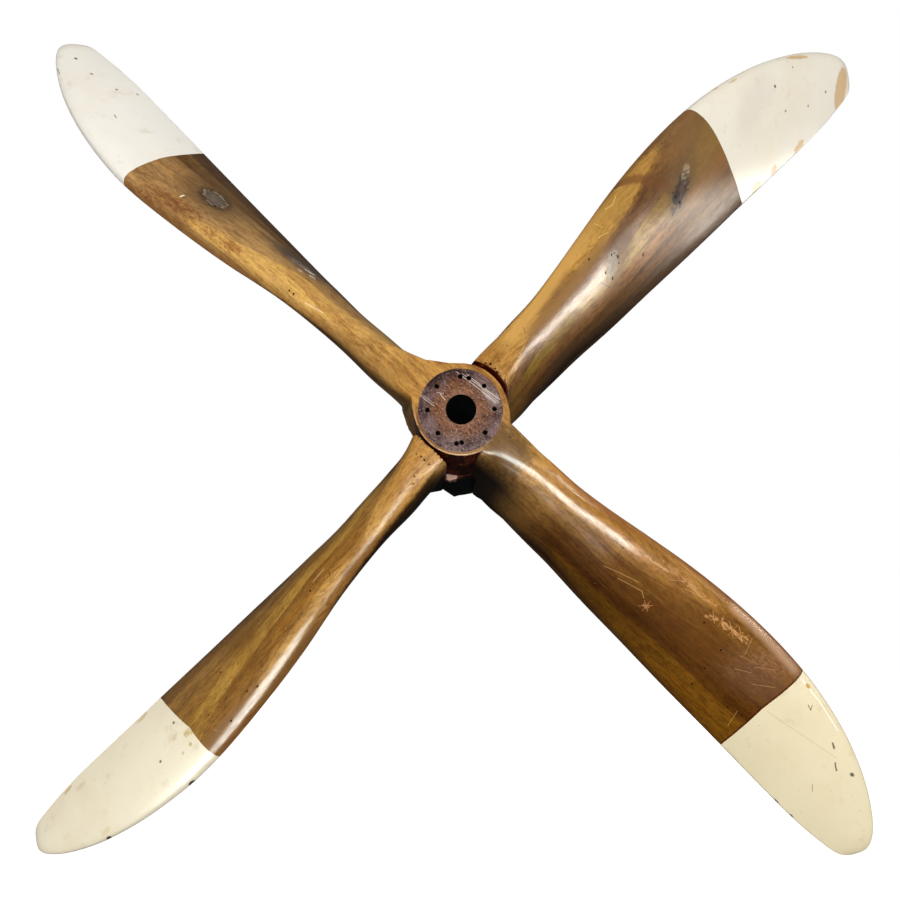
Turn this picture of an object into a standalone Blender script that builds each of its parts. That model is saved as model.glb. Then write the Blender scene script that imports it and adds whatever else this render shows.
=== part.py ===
"""Four-blade laminated wooden aircraft propeller, 2.74 m across the tips.

The propeller stands upright in the XZ plane with its front face towards -Y.
The origin is on the shaft axis, on the flat rear face of the hub.
Units are metres. Every board of the laminated hub and blades is one object,
and so is each cream painted tip.
"""

import bisect
import math
from dataclasses import dataclass

import bmesh
import bpy
from mathutils import Matrix, Vector

# overall sizes
TIP_RADIUS = 1.370
HUB_DEPTH = 0.184
BOARD_COUNT = 8
BOARD_THICKNESS = HUB_DEPTH / BOARD_COUNT
FRONT_HEIGHT = 0.096
REAR_HEIGHT = FRONT_HEIGHT - HUB_DEPTH
GLUE_GAP = 0.0003

# hub
BOSS_RADIUS = 0.0975
SHOULDER_DISTANCE = 0.1020
BORE_RADIUS = 0.0320
BOLT_CIRCLE_RADIUS = 0.0697
BOLT_HOLE_RADIUS = 0.0052
BOLT_ANGLES = (0.0, 45.0, 90.0, 135.0, 180.0, 225.0, 270.0, 315.0)
SPARE_HOLES = ((74.9, 0.0682), (261.4, 0.0724))

# blades
PAINT_RADIUS = 0.933
BLADE_ANGLES = {"upper_right": 45.0, "upper_left": 135.0, "lower_left": 225.0, "lower_right": 315.0}
FRONT_PAIR = ("upper_left", "lower_right")
REAR_PAIR = ("upper_right", "lower_left")
TIP_WEAR = {"upper_right": 0.009, "upper_left": 0.0, "lower_left": 0.003, "lower_right": 0.0}
WEAR_START = 1.20
SPAN_STEPS = 22


@dataclass(frozen=True)
class Station:
    """One blade section.

    lead and trail are the edge points as (sideways, forwards) from the blade axis.
    upper and lower are the thicknesses in front of and behind the chord, and
    block says how square the section is: 1 at the hub, near 0 along the blade.
    """

    radius: float
    lead: tuple
    trail: tuple
    upper: float
    lower: float
    block: float

    def values(self):
        """Return the numbers that are interpolated along the blade."""
        return (*self.lead, *self.trail, self.upper, self.lower, self.block)


STATIONS = (
    Station(0.100, (0.0110, 0.1070), (-0.0110, -0.0985), 0.0500, 0.0500, 1.00),
    Station(0.150, (0.0345, 0.0960), (-0.0335, -0.0820), 0.0510, 0.0435, 1.00),
    Station(0.210, (0.0485, 0.0885), (-0.0455, -0.0700), 0.0460, 0.0420, 0.90),
    Station(0.280, (0.0570, 0.0835), (-0.0530, -0.0610), 0.0420, 0.0370, 0.70),
    Station(0.360, (0.0710, 0.0785), (-0.0580, -0.0545), 0.0400, 0.0250, 0.45),
    Station(0.460, (0.0885, 0.0770), (-0.0660, -0.0515), 0.0430, 0.0110, 0.20),
    Station(0.600, (0.1120, 0.0700), (-0.0730, -0.0485), 0.0380, 0.0030, 0.05),
    Station(0.760, (0.1280, 0.0590), (-0.0805, -0.0495), 0.0305, 0.0015, 0.05),
    Station(0.930, (0.1310, 0.0395), (-0.0870, -0.0460), 0.0240, 0.0010, 0.05),
    Station(1.080, (0.1100, 0.0235), (-0.0930, -0.0450), 0.0185, 0.0010, 0.05),
    Station(1.200, (0.0760, 0.0065), (-0.0965, -0.0440), 0.0145, 0.0010, 0.05),
    Station(1.290, (0.0350, -0.0085), (-0.0920, -0.0430), 0.0110, 0.0010, 0.05),
    Station(1.340, (0.0015, -0.0190), (-0.0840, -0.0410), 0.0085, 0.0010, 0.05),
    Station(1.370, (-0.0400, -0.0380), (-0.0400, -0.0380), 0.0040, 0.0010, 0.05),
)

# chord fraction and height of the cambered side, as a share of the thickness
CAMBER = (
    (0.000, 0.10), (0.015, 0.34), (0.055, 0.63), (0.130, 0.86), (0.250, 0.99),
    (0.400, 0.98), (0.560, 0.90), (0.720, 0.69), (0.870, 0.40), (1.000, 0.10),
)

# flares of the boss into the leading side of the through boards, as (along, sideways)
# points at the front and at the back of each pair
FRONT_FLARE = (
    ((0.020, 0.000), (0.020, 0.000)), ((0.020, 0.0954), (0.020, 0.0954)), ((0.045, 0.0868), (0.045, 0.0880)),
    ((0.060, 0.0785), (0.060, 0.0835)), ((0.070, 0.0715), (0.070, 0.0805)), ((0.079, 0.0650), (0.080, 0.0775)),
    ((0.088, 0.0585), (0.093, 0.0745)), ((0.106, 0.0510), (0.113, 0.0625)), ((0.128, 0.0450), (0.134, 0.0515)),
    ((0.150, 0.0320), (0.160, 0.0380)), ((0.150, 0.000), (0.160, 0.000)),
)
REAR_FLARE = (
    ((0.010, 0.000), (0.010, 0.000)), ((0.010, 0.0985), (0.010, 0.1008)), ((0.035, 0.0945), (0.035, 0.1008)),
    ((0.048, 0.0868), (0.050, 0.0950)), ((0.060, 0.0785), (0.066, 0.0835)), ((0.072, 0.0715), (0.076, 0.0755)),
    ((0.085, 0.0655), (0.086, 0.0700)), ((0.095, 0.0600), (0.088, 0.0600)), ((0.112, 0.0440), (0.092, 0.0360)),
    ((0.112, 0.000), (0.092, 0.000)),
)
# fillet of the boss into the trailing side of the upper left blade
TRAILING_FILLET = (
    ((0.020, 0.000), (0.020, 0.000)), ((0.020, -0.0954), (0.020, -0.0954)), ((0.045, -0.0868), (0.045, -0.0868)),
    ((0.060, -0.0770), (0.060, -0.0770)), ((0.072, -0.0660), (0.072, -0.0660)), ((0.086, -0.0530), (0.086, -0.0530)),
    ((0.104, -0.0400), (0.104, -0.0460)), ((0.122, -0.0270), (0.122, -0.0420)), ((0.122, 0.000), (0.122, 0.000)),
)


def clear_scene():
    """Remove the objects that a new file starts with."""
    for item in list(bpy.data.objects):
        bpy.data.objects.remove(item, do_unlink=True)


def make_material(name, colour, roughness, metallic=0.0):
    """Return a Principled material."""
    material = bpy.data.materials.new(name)
    material.use_nodes = True
    shader = material.node_tree.nodes["Principled BSDF"]
    shader.inputs["Base Color"].default_value = (*colour, 1.0)
    shader.inputs["Roughness"].default_value = roughness
    shader.inputs["Metallic"].default_value = metallic
    material.diffuse_color = (*colour, 1.0)
    return material


def span_position(radius):
    """Return the position of a radius along the blade, from 0 at the root to 1 at the tip."""
    share = (radius - STATIONS[0].radius) / (TIP_RADIUS - STATIONS[0].radius)
    return math.asin(min(max(share, 0.0), 1.0)) * 2.0 / math.pi


def span_radius(position):
    """Return the radius at a position along the blade."""
    root = STATIONS[0].radius
    return root + (TIP_RADIUS - root) * math.sin(math.pi * position / 2.0)


def smooth_values(position):
    """Interpolate the station table with a cubic curve through its rows."""
    knots = [span_position(station.radius) for station in STATIONS]
    rows = [station.values() for station in STATIONS]
    cell = min(max(bisect.bisect_right(knots, position) - 1, 0), len(knots) - 2)
    width = knots[cell + 1] - knots[cell]
    share = (position - knots[cell]) / width

    def slope(index, column):
        if index in (0, len(knots) - 1):
            near = 1 if index == 0 else index
            return (rows[near][column] - rows[near - 1][column]) / (knots[near] - knots[near - 1])
        before = (rows[index][column] - rows[index - 1][column]) / (knots[index] - knots[index - 1])
        after = (rows[index + 1][column] - rows[index][column]) / (knots[index + 1] - knots[index])
        left = knots[index] - knots[index - 1]
        right = knots[index + 1] - knots[index]
        return (before * right + after * left) / (left + right)

    result = []
    for column in range(len(rows[0])):
        start = rows[cell][column]
        end = rows[cell + 1][column]
        first = slope(cell, column) * width
        last = slope(cell + 1, column) * width
        cubic = (
            (2.0 * share ** 3 - 3.0 * share ** 2 + 1.0) * start
            + (share ** 3 - 2.0 * share ** 2 + share) * first
            + (3.0 * share ** 2 - 2.0 * share ** 3) * end
            + (share ** 3 - share ** 2) * last
        )
        result.append(cubic)
    return result


def superellipse(fraction, power):
    """Height of a rounded block at a chord fraction."""
    return (1.0 - abs(2.0 * min(max(fraction, 0.004), 0.996) - 1.0) ** power) ** (1.0 / power)


def section_outline(radius, values):
    """Return the closed outline of a section as (sideways, forwards) vectors."""
    lead = Vector(values[0:2])
    trail = Vector(values[2:4])
    upper_size, lower_size, block = values[4:7]
    chord = trail - lead
    normal = Vector((-chord.y, chord.x)).normalized()
    if normal.y < 0.0:
        normal.negate()
    outward = max(0.0, radius - 0.1)
    soft_power = 3.2 - 0.9 * min(1.0, outward / 0.2)
    rear_power = soft_power + 1.5 * max(0.0, 1.0 - outward / 0.03)
    upper_power = soft_power + 2.8 * max(0.0, 1.0 - outward / 0.16) ** 1.3
    lower_power = soft_power + 2.6 * max(0.0, 1.0 - outward / 0.08) ** 1.3
    upper = []
    lower = []
    for fraction, height in CAMBER:
        is_front = fraction < 0.5
        full = superellipse(fraction, upper_power if is_front else rear_power)
        soft = superellipse(fraction, lower_power if is_front else rear_power)
        above = (1.0 - block) * height + block * full
        under = (1.0 - block) * max(superellipse(fraction, 2.3), 0.3) + block * soft
        upper.append(lead + chord * fraction + normal * upper_size * above)
        lower.append(lead + chord * fraction - normal * lower_size * under)
    return upper + lower[::-1]


def worn_radius(radius, wear):
    """Return a radius drawn in near the tip by the wear of one blade."""
    share = max(0.0, radius - WEAR_START) / (TIP_RADIUS - WEAR_START)
    return radius - wear * share ** 2


def blade_mesh(wear):
    """Return one blade as a bmesh, lying along +X with its front towards -Y."""
    shape = bmesh.new()
    rings = []
    root = STATIONS[0]
    inner = section_outline(0.060, (0.007, 0.110, -0.007, -0.102, 0.050, 0.050, 1.0))
    rings.append([shape.verts.new((0.060, REAR_HEIGHT - p.y, p.x)) for p in inner])
    for step in range(SPAN_STEPS):
        position = step / SPAN_STEPS
        radius = span_radius(position)
        outline = section_outline(radius, smooth_values(position))
        along = worn_radius(radius, wear)
        rings.append([shape.verts.new((along, REAR_HEIGHT - p.y, p.x)) for p in outline])
    for share in (0.975, 0.992):
        radius = span_radius(share)
        outline = section_outline(radius, smooth_values(share))
        along = worn_radius(radius, wear)
        rings.append([shape.verts.new((along, REAR_HEIGHT - p.y, p.x)) for p in outline])
    count = len(rings[0])
    for near, far in zip(rings, rings[1:]):
        for index in range(count):
            after = (index + 1) % count
            shape.faces.new((near[index], near[after], far[after], far[index]))
    shape.faces.new(rings[0][::-1])
    end = STATIONS[-1]
    tip = shape.verts.new((TIP_RADIUS - wear, REAR_HEIGHT - end.lead[1], end.lead[0]))
    for index in range(count):
        after = (index + 1) % count
        shape.faces.new((rings[-1][index], rings[-1][after], tip))
    bmesh.ops.recalc_face_normals(shape, faces=shape.faces)
    bmesh.ops.triangulate(shape, faces=[face for face in shape.faces if len(face.verts) > 3])
    return shape


def object_from_bmesh(name, shape):
    """Store a bmesh in a new linked object."""
    mesh = bpy.data.meshes.new(name)
    shape.to_mesh(mesh)
    shape.free()
    result = bpy.data.objects.new(name, mesh)
    bpy.context.collection.objects.link(result)
    return result


def turn_matrix(degrees):
    """Return the turn about the shaft axis, counterclockwise seen from the front."""
    return Matrix.Rotation(-math.radians(degrees), 4, "Y")


def blade_object(name):
    """Return one whole blade turned to its place."""
    shape = blade_mesh(TIP_WEAR[name])
    bmesh.ops.transform(shape, matrix=turn_matrix(BLADE_ANGLES[name]), verts=shape.verts)
    return object_from_bmesh("whole_" + name, shape)


def flare_object(name, outline, depths):
    """Return a flare between the boss and one side of a blade.

    outline holds pairs of (along, sideways) points, at the front and at the back depth.
    """
    shape = bmesh.new()
    turn = turn_matrix(BLADE_ANGLES[name])
    rings = []
    for index, depth in enumerate(depths):
        rings.append([shape.verts.new(turn @ Vector((pair[index][0], depth, pair[index][1]))) for pair in outline])
    count = len(outline)
    for index in range(count):
        after = (index + 1) % count
        shape.faces.new((rings[0][index], rings[0][after], rings[1][after], rings[1][index]))
    shape.faces.new(rings[0][::-1])
    shape.faces.new(rings[1])
    bmesh.ops.triangulate(shape, faces=shape.faces, quad_method="FIXED", ngon_method="EAR_CLIP")
    bmesh.ops.recalc_face_normals(shape, faces=shape.faces)
    return object_from_bmesh("flare_" + name, shape)


def add_cylinder(shape, radius, front, back, centre, segments):
    """Add a closed cylinder along Y to a bmesh."""
    made = bmesh.ops.create_cone(shape, cap_ends=True, segments=segments, radius1=radius,
                                 radius2=radius, depth=back - front)
    verts = made["verts"]
    bmesh.ops.rotate(shape, verts=verts, matrix=Matrix.Rotation(math.pi / 2.0, 3, "X"))
    bmesh.ops.translate(shape, verts=verts, vec=(centre[0], (front + back) / 2.0, centre[1]))


def cylinder_object(name, radius, front, back, segments):
    """Return a closed cylinder about the shaft axis from depth front to depth back."""
    shape = bmesh.new()
    add_cylinder(shape, radius, front, back, (0.0, 0.0), segments)
    return object_from_bmesh(name, shape)


def box_object(name, low, high, turn=0.0):
    """Return a closed box, turned about the shaft axis by an angle in degrees."""
    shape = bmesh.new()
    bmesh.ops.create_cube(shape, size=1.0)
    size = Vector(high) - Vector(low)
    bmesh.ops.scale(shape, verts=shape.verts, vec=size)
    bmesh.ops.translate(shape, verts=shape.verts, vec=(Vector(high) + Vector(low)) / 2.0)
    bmesh.ops.transform(shape, verts=shape.verts, matrix=turn_matrix(turn))
    return object_from_bmesh(name, shape)


def combine(target, tool, operation):
    """Apply one Boolean operation to the target's mesh and drop the tool."""
    change = target.modifiers.new("combine", "BOOLEAN")
    change.operation = operation
    change.solver = "MANIFOLD"
    change.object = tool
    bpy.context.view_layer.update()
    graph = bpy.context.evaluated_depsgraph_get()
    result = bpy.data.meshes.new_from_object(target.evaluated_get(graph))
    target.modifiers.clear()
    old = target.data
    target.data = result
    bpy.data.meshes.remove(old)
    bpy.data.objects.remove(tool, do_unlink=True)


def copy_object(source, name):
    """Return an independent copy of an object."""
    result = source.copy()
    result.data = source.data.copy()
    result.name = name
    result.data.name = name
    bpy.context.collection.objects.link(result)
    return result


def finish_piece(target, material):
    """Triangulate a finished piece and give it its only material."""
    shape = bmesh.new()
    shape.from_mesh(target.data)
    bmesh.ops.triangulate(shape, faces=shape.faces, quad_method="FIXED", ngon_method="EAR_CLIP")
    bmesh.ops.recalc_face_normals(shape, faces=shape.faces)
    shape.to_mesh(target.data)
    shape.free()
    target.data.materials.clear()
    target.data.materials.append(material)


def keep_main_bodies(target, least=0.000002):
    """Drop loose slivers whose volume is below a small limit."""
    shape = bmesh.new()
    shape.from_mesh(target.data)
    seen = set()
    doomed = []
    for start in shape.verts:
        if start in seen:
            continue
        island = set()
        queue = [start]
        while queue:
            vert = queue.pop()
            if vert in island:
                continue
            island.add(vert)
            for edge in vert.link_edges:
                queue.append(edge.other_vert(vert))
        seen |= island
        faces = {face for vert in island for face in vert.link_faces}
        volume = 0.0
        for face in faces:
            corners = [vert.co for vert in face.verts]
            for second, third in zip(corners[1:], corners[2:]):
                volume += corners[0].dot(second.cross(third)) / 6.0
        if abs(volume) < least:
            doomed.extend(island)
    bmesh.ops.delete(shape, geom=doomed, context="VERTS")
    shape.to_mesh(target.data)
    shape.free()


def board_limits(number):
    """Return the front and back depth of one board, counted from the front."""
    front = -HUB_DEPTH + number * BOARD_THICKNESS
    back = front + BOARD_THICKNESS
    if number > 0:
        front += GLUE_GAP / 2.0
    if number < BOARD_COUNT - 1:
        back -= GLUE_GAP / 2.0
    return front, back


def cut_hub_holes(target):
    """Cut the bore and the bolt holes through a board."""
    depths = (-HUB_DEPTH - 0.02, 0.02)
    shape = bmesh.new()
    add_cylinder(shape, BORE_RADIUS, *depths, (0.0, 0.0), 40)
    places = [(angle, BOLT_CIRCLE_RADIUS) for angle in BOLT_ANGLES]
    places.extend(SPARE_HOLES)
    for angle, radius in places:
        turn = math.radians(angle)
        centre = (radius * math.cos(turn), radius * math.sin(turn))
        add_cylinder(shape, BOLT_HOLE_RADIUS, *depths, centre, 14)
    combine(target, object_from_bmesh("hole_tool", shape), "DIFFERENCE")


def slice_boards(whole, numbers, prefix, material, drilled=False):
    """Cut a shape into boards by depth and return the new objects."""
    boards = []
    for number in numbers:
        front, back = board_limits(number)
        board = copy_object(whole, "%s_board_%d" % (prefix, number + 1))
        slab = box_object("slab_tool", (-2.0, front, -2.0), (2.0, back, 2.0))
        combine(board, slab, "INTERSECT")
        if drilled:
            cut_hub_holes(board)
        keep_main_bodies(board)
        finish_piece(board, material)
        boards.append(board)
    return boards


def make_board_ends(blade, name, numbers, material):
    """Make the short boards of one blade that end at the shoulder beside the boss."""
    ends = copy_object(blade, name + "_ends")
    if name == "upper_right":
        round_tool = cylinder_object("shoulder_tool", SHOULDER_DISTANCE, -0.5, 0.5, 64)
        combine(ends, round_tool, "DIFFERENCE")
    else:
        flat_tool = box_object("shoulder_tool", (-0.2, -0.5, -0.5), (SHOULDER_DISTANCE, 0.5, 0.5),
                               BLADE_ANGLES[name])
        combine(ends, flat_tool, "DIFFERENCE")
    slice_boards(ends, numbers, name, material)
    bpy.data.objects.remove(ends, do_unlink=True)


def main():
    """Build every board and painted tip."""
    clear_scene()
    varnished = make_material("varnished_wood", (0.32, 0.15, 0.06), 0.35)
    end_wood = make_material("varnished_board_end", (0.30, 0.14, 0.055), 0.35)
    painted = make_material("cream_paint", (0.80, 0.74, 0.62), 0.45)

    reach = TIP_RADIUS + 0.1
    half = GLUE_GAP / 2.0
    for pair, numbers, others in (
        (FRONT_PAIR, range(0, 4), range(4, 8)),
        (REAR_PAIR, range(4, 8), range(0, 4)),
    ):
        is_front = pair is FRONT_PAIR
        pair_name = "front_pair" if is_front else "rear_pair"
        flare = FRONT_FLARE if is_front else REAR_FLARE
        middle = -HUB_DEPTH / 2.0
        depths = (-HUB_DEPTH - 0.008, middle + 0.005) if is_front else (middle - 0.005, 0.008)
        core = cylinder_object("core_" + pair_name, BOSS_RADIUS, -HUB_DEPTH - 0.01, 0.01, 56)
        for name in pair:
            blade = blade_object(name)
            turn = BLADE_ANGLES[name]
            tip = copy_object(blade, name + "_painted_tip")
            outer = box_object("outer_tool", (PAINT_RADIUS + half, -0.5, -0.5), (reach, 0.5, 0.5), turn)
            combine(tip, outer, "INTERSECT")
            finish_piece(tip, painted)
            limits = box_object("wood_tool", (0.02, -0.5, -0.5), (PAINT_RADIUS - half, 0.5, 0.5), turn)
            combine(blade, limits, "INTERSECT")
            make_board_ends(blade, name, others, end_wood)
            combine(core, blade, "UNION")
            combine(core, flare_object(name, flare, depths), "UNION")
            if name == "upper_left":
                combine(core, flare_object(name, TRAILING_FILLET, depths), "UNION")
        slice_boards(core, numbers, pair_name, varnished, drilled=True)
        bpy.data.objects.remove(core, do_unlink=True)


main()
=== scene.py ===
"""Looks of a four-blade laminated wooden aircraft propeller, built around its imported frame."""

import logging
import math
from bisect import bisect_right
from collections.abc import Iterable, Sequence
from dataclasses import dataclass
from enum import Enum
from random import Random

import bmesh
import bpy
from mathutils import Euler, Matrix, Vector


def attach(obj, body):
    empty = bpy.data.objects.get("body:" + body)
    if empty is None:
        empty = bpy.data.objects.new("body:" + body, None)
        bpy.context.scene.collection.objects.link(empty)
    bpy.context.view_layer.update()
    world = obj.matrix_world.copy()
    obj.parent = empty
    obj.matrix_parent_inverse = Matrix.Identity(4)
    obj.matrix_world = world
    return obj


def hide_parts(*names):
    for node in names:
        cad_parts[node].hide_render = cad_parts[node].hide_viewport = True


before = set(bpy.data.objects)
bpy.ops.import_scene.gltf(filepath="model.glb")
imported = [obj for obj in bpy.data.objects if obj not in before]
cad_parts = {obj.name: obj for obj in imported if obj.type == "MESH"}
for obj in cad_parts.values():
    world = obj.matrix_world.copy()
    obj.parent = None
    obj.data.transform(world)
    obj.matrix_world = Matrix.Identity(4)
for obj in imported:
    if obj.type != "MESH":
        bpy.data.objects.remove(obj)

LOG = logging.getLogger("propeller")
Colour = str | tuple[float, float, float]

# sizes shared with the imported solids, in metres
TIP_RADIUS = 1.370
HUB_DEPTH = 0.184
MIDDLE = -HUB_DEPTH / 2.0
BOARD = HUB_DEPTH / 8.0
REAR_HEIGHT = -0.088
FRONT_HEIGHT = HUB_DEPTH + REAR_HEIGHT
JOINT_GAP = 0.00015
WEAR_START = 1.20

# a millimetre, and how far drills and cutting boxes reach
MM = 0.001
BEYOND = 0.02
FAR = 0.4

# a spot of paint with a sharper edge than this is a chip in the paint's layer
CHIP_EDGE = 0.2


class Lamp(Enum):
    """Colour of a lamp. A FILL lamp lights surfaces without gloss, the others add only gloss."""

    FILL = (1.0, 1.0, 1.0)
    WARM_GLOSS = (1.0, 0.94, 0.84)
    COOL_GLOSS = (0.80, 0.95, 1.0)


class Side(Enum):
    """The four blades and their angles in degrees, from the right, counterclockwise seen from the front."""

    UPPER_RIGHT = 45.0
    UPPER_LEFT = 135.0
    LOWER_LEFT = 225.0
    LOWER_RIGHT = 315.0

    @property
    def label(self) -> str:
        """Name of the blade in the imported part."""
        return self.name.lower()

    @property
    def turn(self) -> Matrix:
        """Turn about the shaft from the lying blade to its place."""
        return Matrix.Rotation(-math.radians(self.value), 4, "Y")

    @property
    def is_front(self) -> bool:
        """Whether the blade belongs to the pair that carries the front half of the boss."""
        return self in (Side.UPPER_LEFT, Side.LOWER_RIGHT)

    def in_blade(self, right: float, up: float) -> tuple[float, float]:
        """Turn a point of the hub's face, as (right, up), into (along, sideways)."""
        turn = math.radians(self.value)
        return right * math.cos(turn) + up * math.sin(turn), up * math.cos(turn) - right * math.sin(turn)


def linear(colour: Colour) -> tuple[float, ...]:
    """Give the linear parts of a colour.

    Args:
        colour: a hex code such as cd9b64, or parts that are linear already.

    Returns:
        Red, green and blue from 0 to 1.
    """
    if not isinstance(colour, str):
        return colour
    parts = (int(colour[start:start + 2], 16) for start in (0, 2, 4))
    return tuple(((part / 255.0 + 0.055) / 1.055) ** 2.4 if part > 10 else part / 3294.6 for part in parts)


# shader maths


@dataclass(frozen=True)
class Field:
    """One output socket of a material, which can be used in Python expressions."""

    graph: "Graph"
    socket: bpy.types.NodeSocket

    def __add__(self, other: "Field | float") -> "Field":
        """Add."""
        return self.graph.math("ADD", self, other)

    __radd__ = __add__

    def __sub__(self, other: "Field | float") -> "Field":
        """Subtract."""
        return self.graph.math("SUBTRACT", self, other)

    def __rsub__(self, other: "Field | float") -> "Field":
        """Subtract from a number."""
        return self.graph.math("SUBTRACT", other, self)

    def __mul__(self, other: "Field | float") -> "Field":
        """Multiply."""
        return self.graph.math("MULTIPLY", self, other)

    __rmul__ = __mul__

    def __truediv__(self, other: "Field | float") -> "Field":
        """Divide."""
        return self.graph.math("DIVIDE", self, other)

    def size(self) -> "Field":
        """Absolute value."""
        return self.graph.math("ABSOLUTE", self)

    def most(self, other: "Field | float") -> "Field":
        """Larger of two values."""
        return self.graph.math("MAXIMUM", self, other)

    def least(self, other: "Field | float") -> "Field":
        """Smaller of two values."""
        return self.graph.math("MINIMUM", self, other)

    def rise(self, start: float, end: float) -> "Field":
        """Make a smooth step.

        Args:
            start: value with the result 0.
            end: value with the result 1, which may lie below start.

        Returns:
            The step.
        """
        low, high, first, last = (start, end, 0.0, 1.0) if start < end else (end, start, 1.0, 0.0)
        made = self.graph.node("ShaderNodeMapRange", {"interpolation_type": "SMOOTHSTEP"},
                               {0: self, 1: low, 2: high, 3: first, 4: last})
        return Field(self.graph, made.outputs[0])


class Graph:
    """Node tree of one material, with a Principled shader at its end.

    Attributes:
        material: the material.
        tree: its node tree.
        shader: its Principled shader.
        place: the object coordinates.
    """

    def __init__(self, name: str) -> None:
        """Make an empty material.

        Args:
            name: its name.
        """
        self.material = bpy.data.materials.new(name)
        self.material.use_nodes = True
        self.tree = self.material.node_tree
        self.tree.nodes.clear()
        self.shader = self.node("ShaderNodeBsdfPrincipled", {}, {})
        output = self.node("ShaderNodeOutputMaterial", {}, {})
        self.tree.links.new(self.shader.outputs[0], output.inputs[0])
        self.place = Field(self, self.node("ShaderNodeTexCoord", {}, {}).outputs["Object"])

    def node(self, kind: str, settings: dict, inputs: dict) -> bpy.types.Node:
        """Add a node.

        Args:
            kind: the node's type.
            settings: properties set first; "stops" holds the stops of a ramp.
            inputs: socket names or numbers, with values or fields.

        Returns:
            The new node.
        """
        made = self.tree.nodes.new(kind)
        for key, value in settings.items():
            if key == "stops":
                self._set_stops(made.color_ramp, value)
            else:
                setattr(made, key, value)
        self._fill(made, inputs)
        return made

    def _fill(self, target: bpy.types.Node, inputs: dict) -> None:
        """Link or set the inputs of a node.

        Args:
            target: the node.
            inputs: socket names or numbers, with values or fields.
        """
        for key, value in inputs.items():
            if isinstance(value, Field):
                self.tree.links.new(value.socket, target.inputs[key])
            else:
                target.inputs[key].default_value = value

    @staticmethod
    def _set_stops(ramp: bpy.types.ColorRamp, stops: Sequence[tuple[float, Colour]]) -> None:
        """Give a ramp its stops.

        Args:
            ramp: the ramp of a node.
            stops: places from 0 to 1 with their colours.
        """
        while len(ramp.elements) < len(stops):
            ramp.elements.new(0.5)
        for element, (place, colour) in zip(ramp.elements, stops):
            element.position = place
            element.color = (*linear(colour), 1.0)

    def math(self, operation: str, *values: "Field | float") -> Field:
        """Add a Math node."""
        made = self.node("ShaderNodeMath", {"operation": operation}, dict(enumerate(values)))
        return Field(self, made.outputs[0])

    def vector(self, x: "Field | float", y: "Field | float", z: "Field | float") -> Field:
        """Join three values."""
        made = self.node("ShaderNodeCombineXYZ", {}, {0: x, 1: y, 2: z})
        return Field(self, made.outputs[0])

    def parts(self, vector: Field) -> tuple[Field, Field, Field]:
        """Split a vector into its three values."""
        made = self.node("ShaderNodeSeparateXYZ", {}, {0: vector})
        return tuple(Field(self, socket) for socket in made.outputs)

    def dot(self, vector: Field, axis: Sequence[float]) -> Field:
        """Measure a vector along a fixed axis."""
        made = self.node("ShaderNodeVectorMath", {"operation": "DOT_PRODUCT"}, {0: vector, 1: axis})
        return Field(self, made.outputs["Value"])

    def blend(self, share: "Field | float", first: "Field | Colour", second: "Field | Colour",
              kind: str = "MIX") -> Field:
        """Mix two colours.

        Args:
            share: share of the second colour.
            first: first colour.
            second: second colour.
            kind: how the second colour acts on the first.

        Returns:
            The mixed colour.
        """
        inputs = {0: share}
        for index, colour in ((6, first), (7, second)):
            inputs[index] = colour if isinstance(colour, Field) else (*linear(colour), 1.0)
        made = self.node("ShaderNodeMix", {"data_type": "RGBA", "blend_type": kind}, inputs)
        return Field(self, made.outputs[2])

    def grain(self, vector: Field, scale: float, detail: float = 3.0, rough: float = 0.55,
              twist: float = 0.0) -> Field:
        """Add a noise texture.

        Args:
            vector: its coordinates.
            scale: how fine it is.
            detail: number of finer layers.
            rough: strength of the finer layers.
            twist: distortion.

        Returns:
            A value from 0 to 1.
        """
        made = self.node("ShaderNodeTexNoise", {"noise_dimensions": "3D"},
                         {"Vector": vector, "Scale": scale, "Detail": detail, "Roughness": rough,
                          "Distortion": twist})
        return Field(self, made.outputs[0])

    def ramp(self, value: Field, stops: Sequence[tuple[float, Colour]]) -> Field:
        """Colour a value of 0 to 1 by stops of (place, colour)."""
        made = self.node("ShaderNodeValToRGB", {"stops": stops}, {0: value})
        return Field(self, made.outputs[0])

    def profile(self, value: Field, points: Sequence[tuple[float, float]]) -> Field:
        """Draw a curve of straight pieces.

        Args:
            value: where to read the curve.
            points: (value, result) points in rising order.

        Returns:
            The result.
        """
        start, end = points[0][0], points[-1][0]
        low = min(point[1] for point in points)
        high = max(point[1] for point in points)
        span = (high - low) or 1.0
        stops = [((x - start) / (end - start), ((y - low) / span,) * 3) for x, y in points]
        return self.ramp((value - start) / (end - start), stops) * span + low

    def finish(self, colour: Field, roughness: "Field | float", height: Field | None = None,
               depth: float = 0.001, **fixed: "Field | float | Sequence[float]") -> bpy.types.Material:
        """Feed the shader and give back the material.

        Args:
            colour: base colour.
            roughness: roughness of the surface.
            height: relief from 0 to 1.
            depth: depth of the relief in metres.
            fixed: other sockets of the shader, with _ for each space.

        Returns:
            The finished material.
        """
        values = {"Base Color": colour, "Roughness": roughness}
        if height is not None:
            bump = self.node("ShaderNodeBump", {}, {"Height": height, "Distance": depth, "Strength": 1.0})
            values["Normal"] = Field(self, bump.outputs[0])
        values.update({key.replace("_", " "): value for key, value in fixed.items()})
        self._fill(self.shader, values)
        return self.material


# blades


@dataclass(frozen=True)
class Station:
    """One blade section.

    Attributes:
        radius: distance from the shaft.
        lead: its leading edge, as (sideways, forwards).
        trail: its trailing edge.
        upper: its height in front of the chord.
        lower: its height behind the chord.
        block: its squareness, from 0 for an aerofoil to 1 for a block.
    """

    radius: float
    lead: tuple[float, float]
    trail: tuple[float, float]
    upper: float
    lower: float
    block: float

    def values(self) -> tuple[float, ...]:
        """Numbers that are interpolated along the blade."""
        return (*self.lead, *self.trail, self.upper, self.lower, self.block)


# radii of the first station and of the ring inside the boss
ROOT = 0.100
INNER_RADIUS = 0.060

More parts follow.
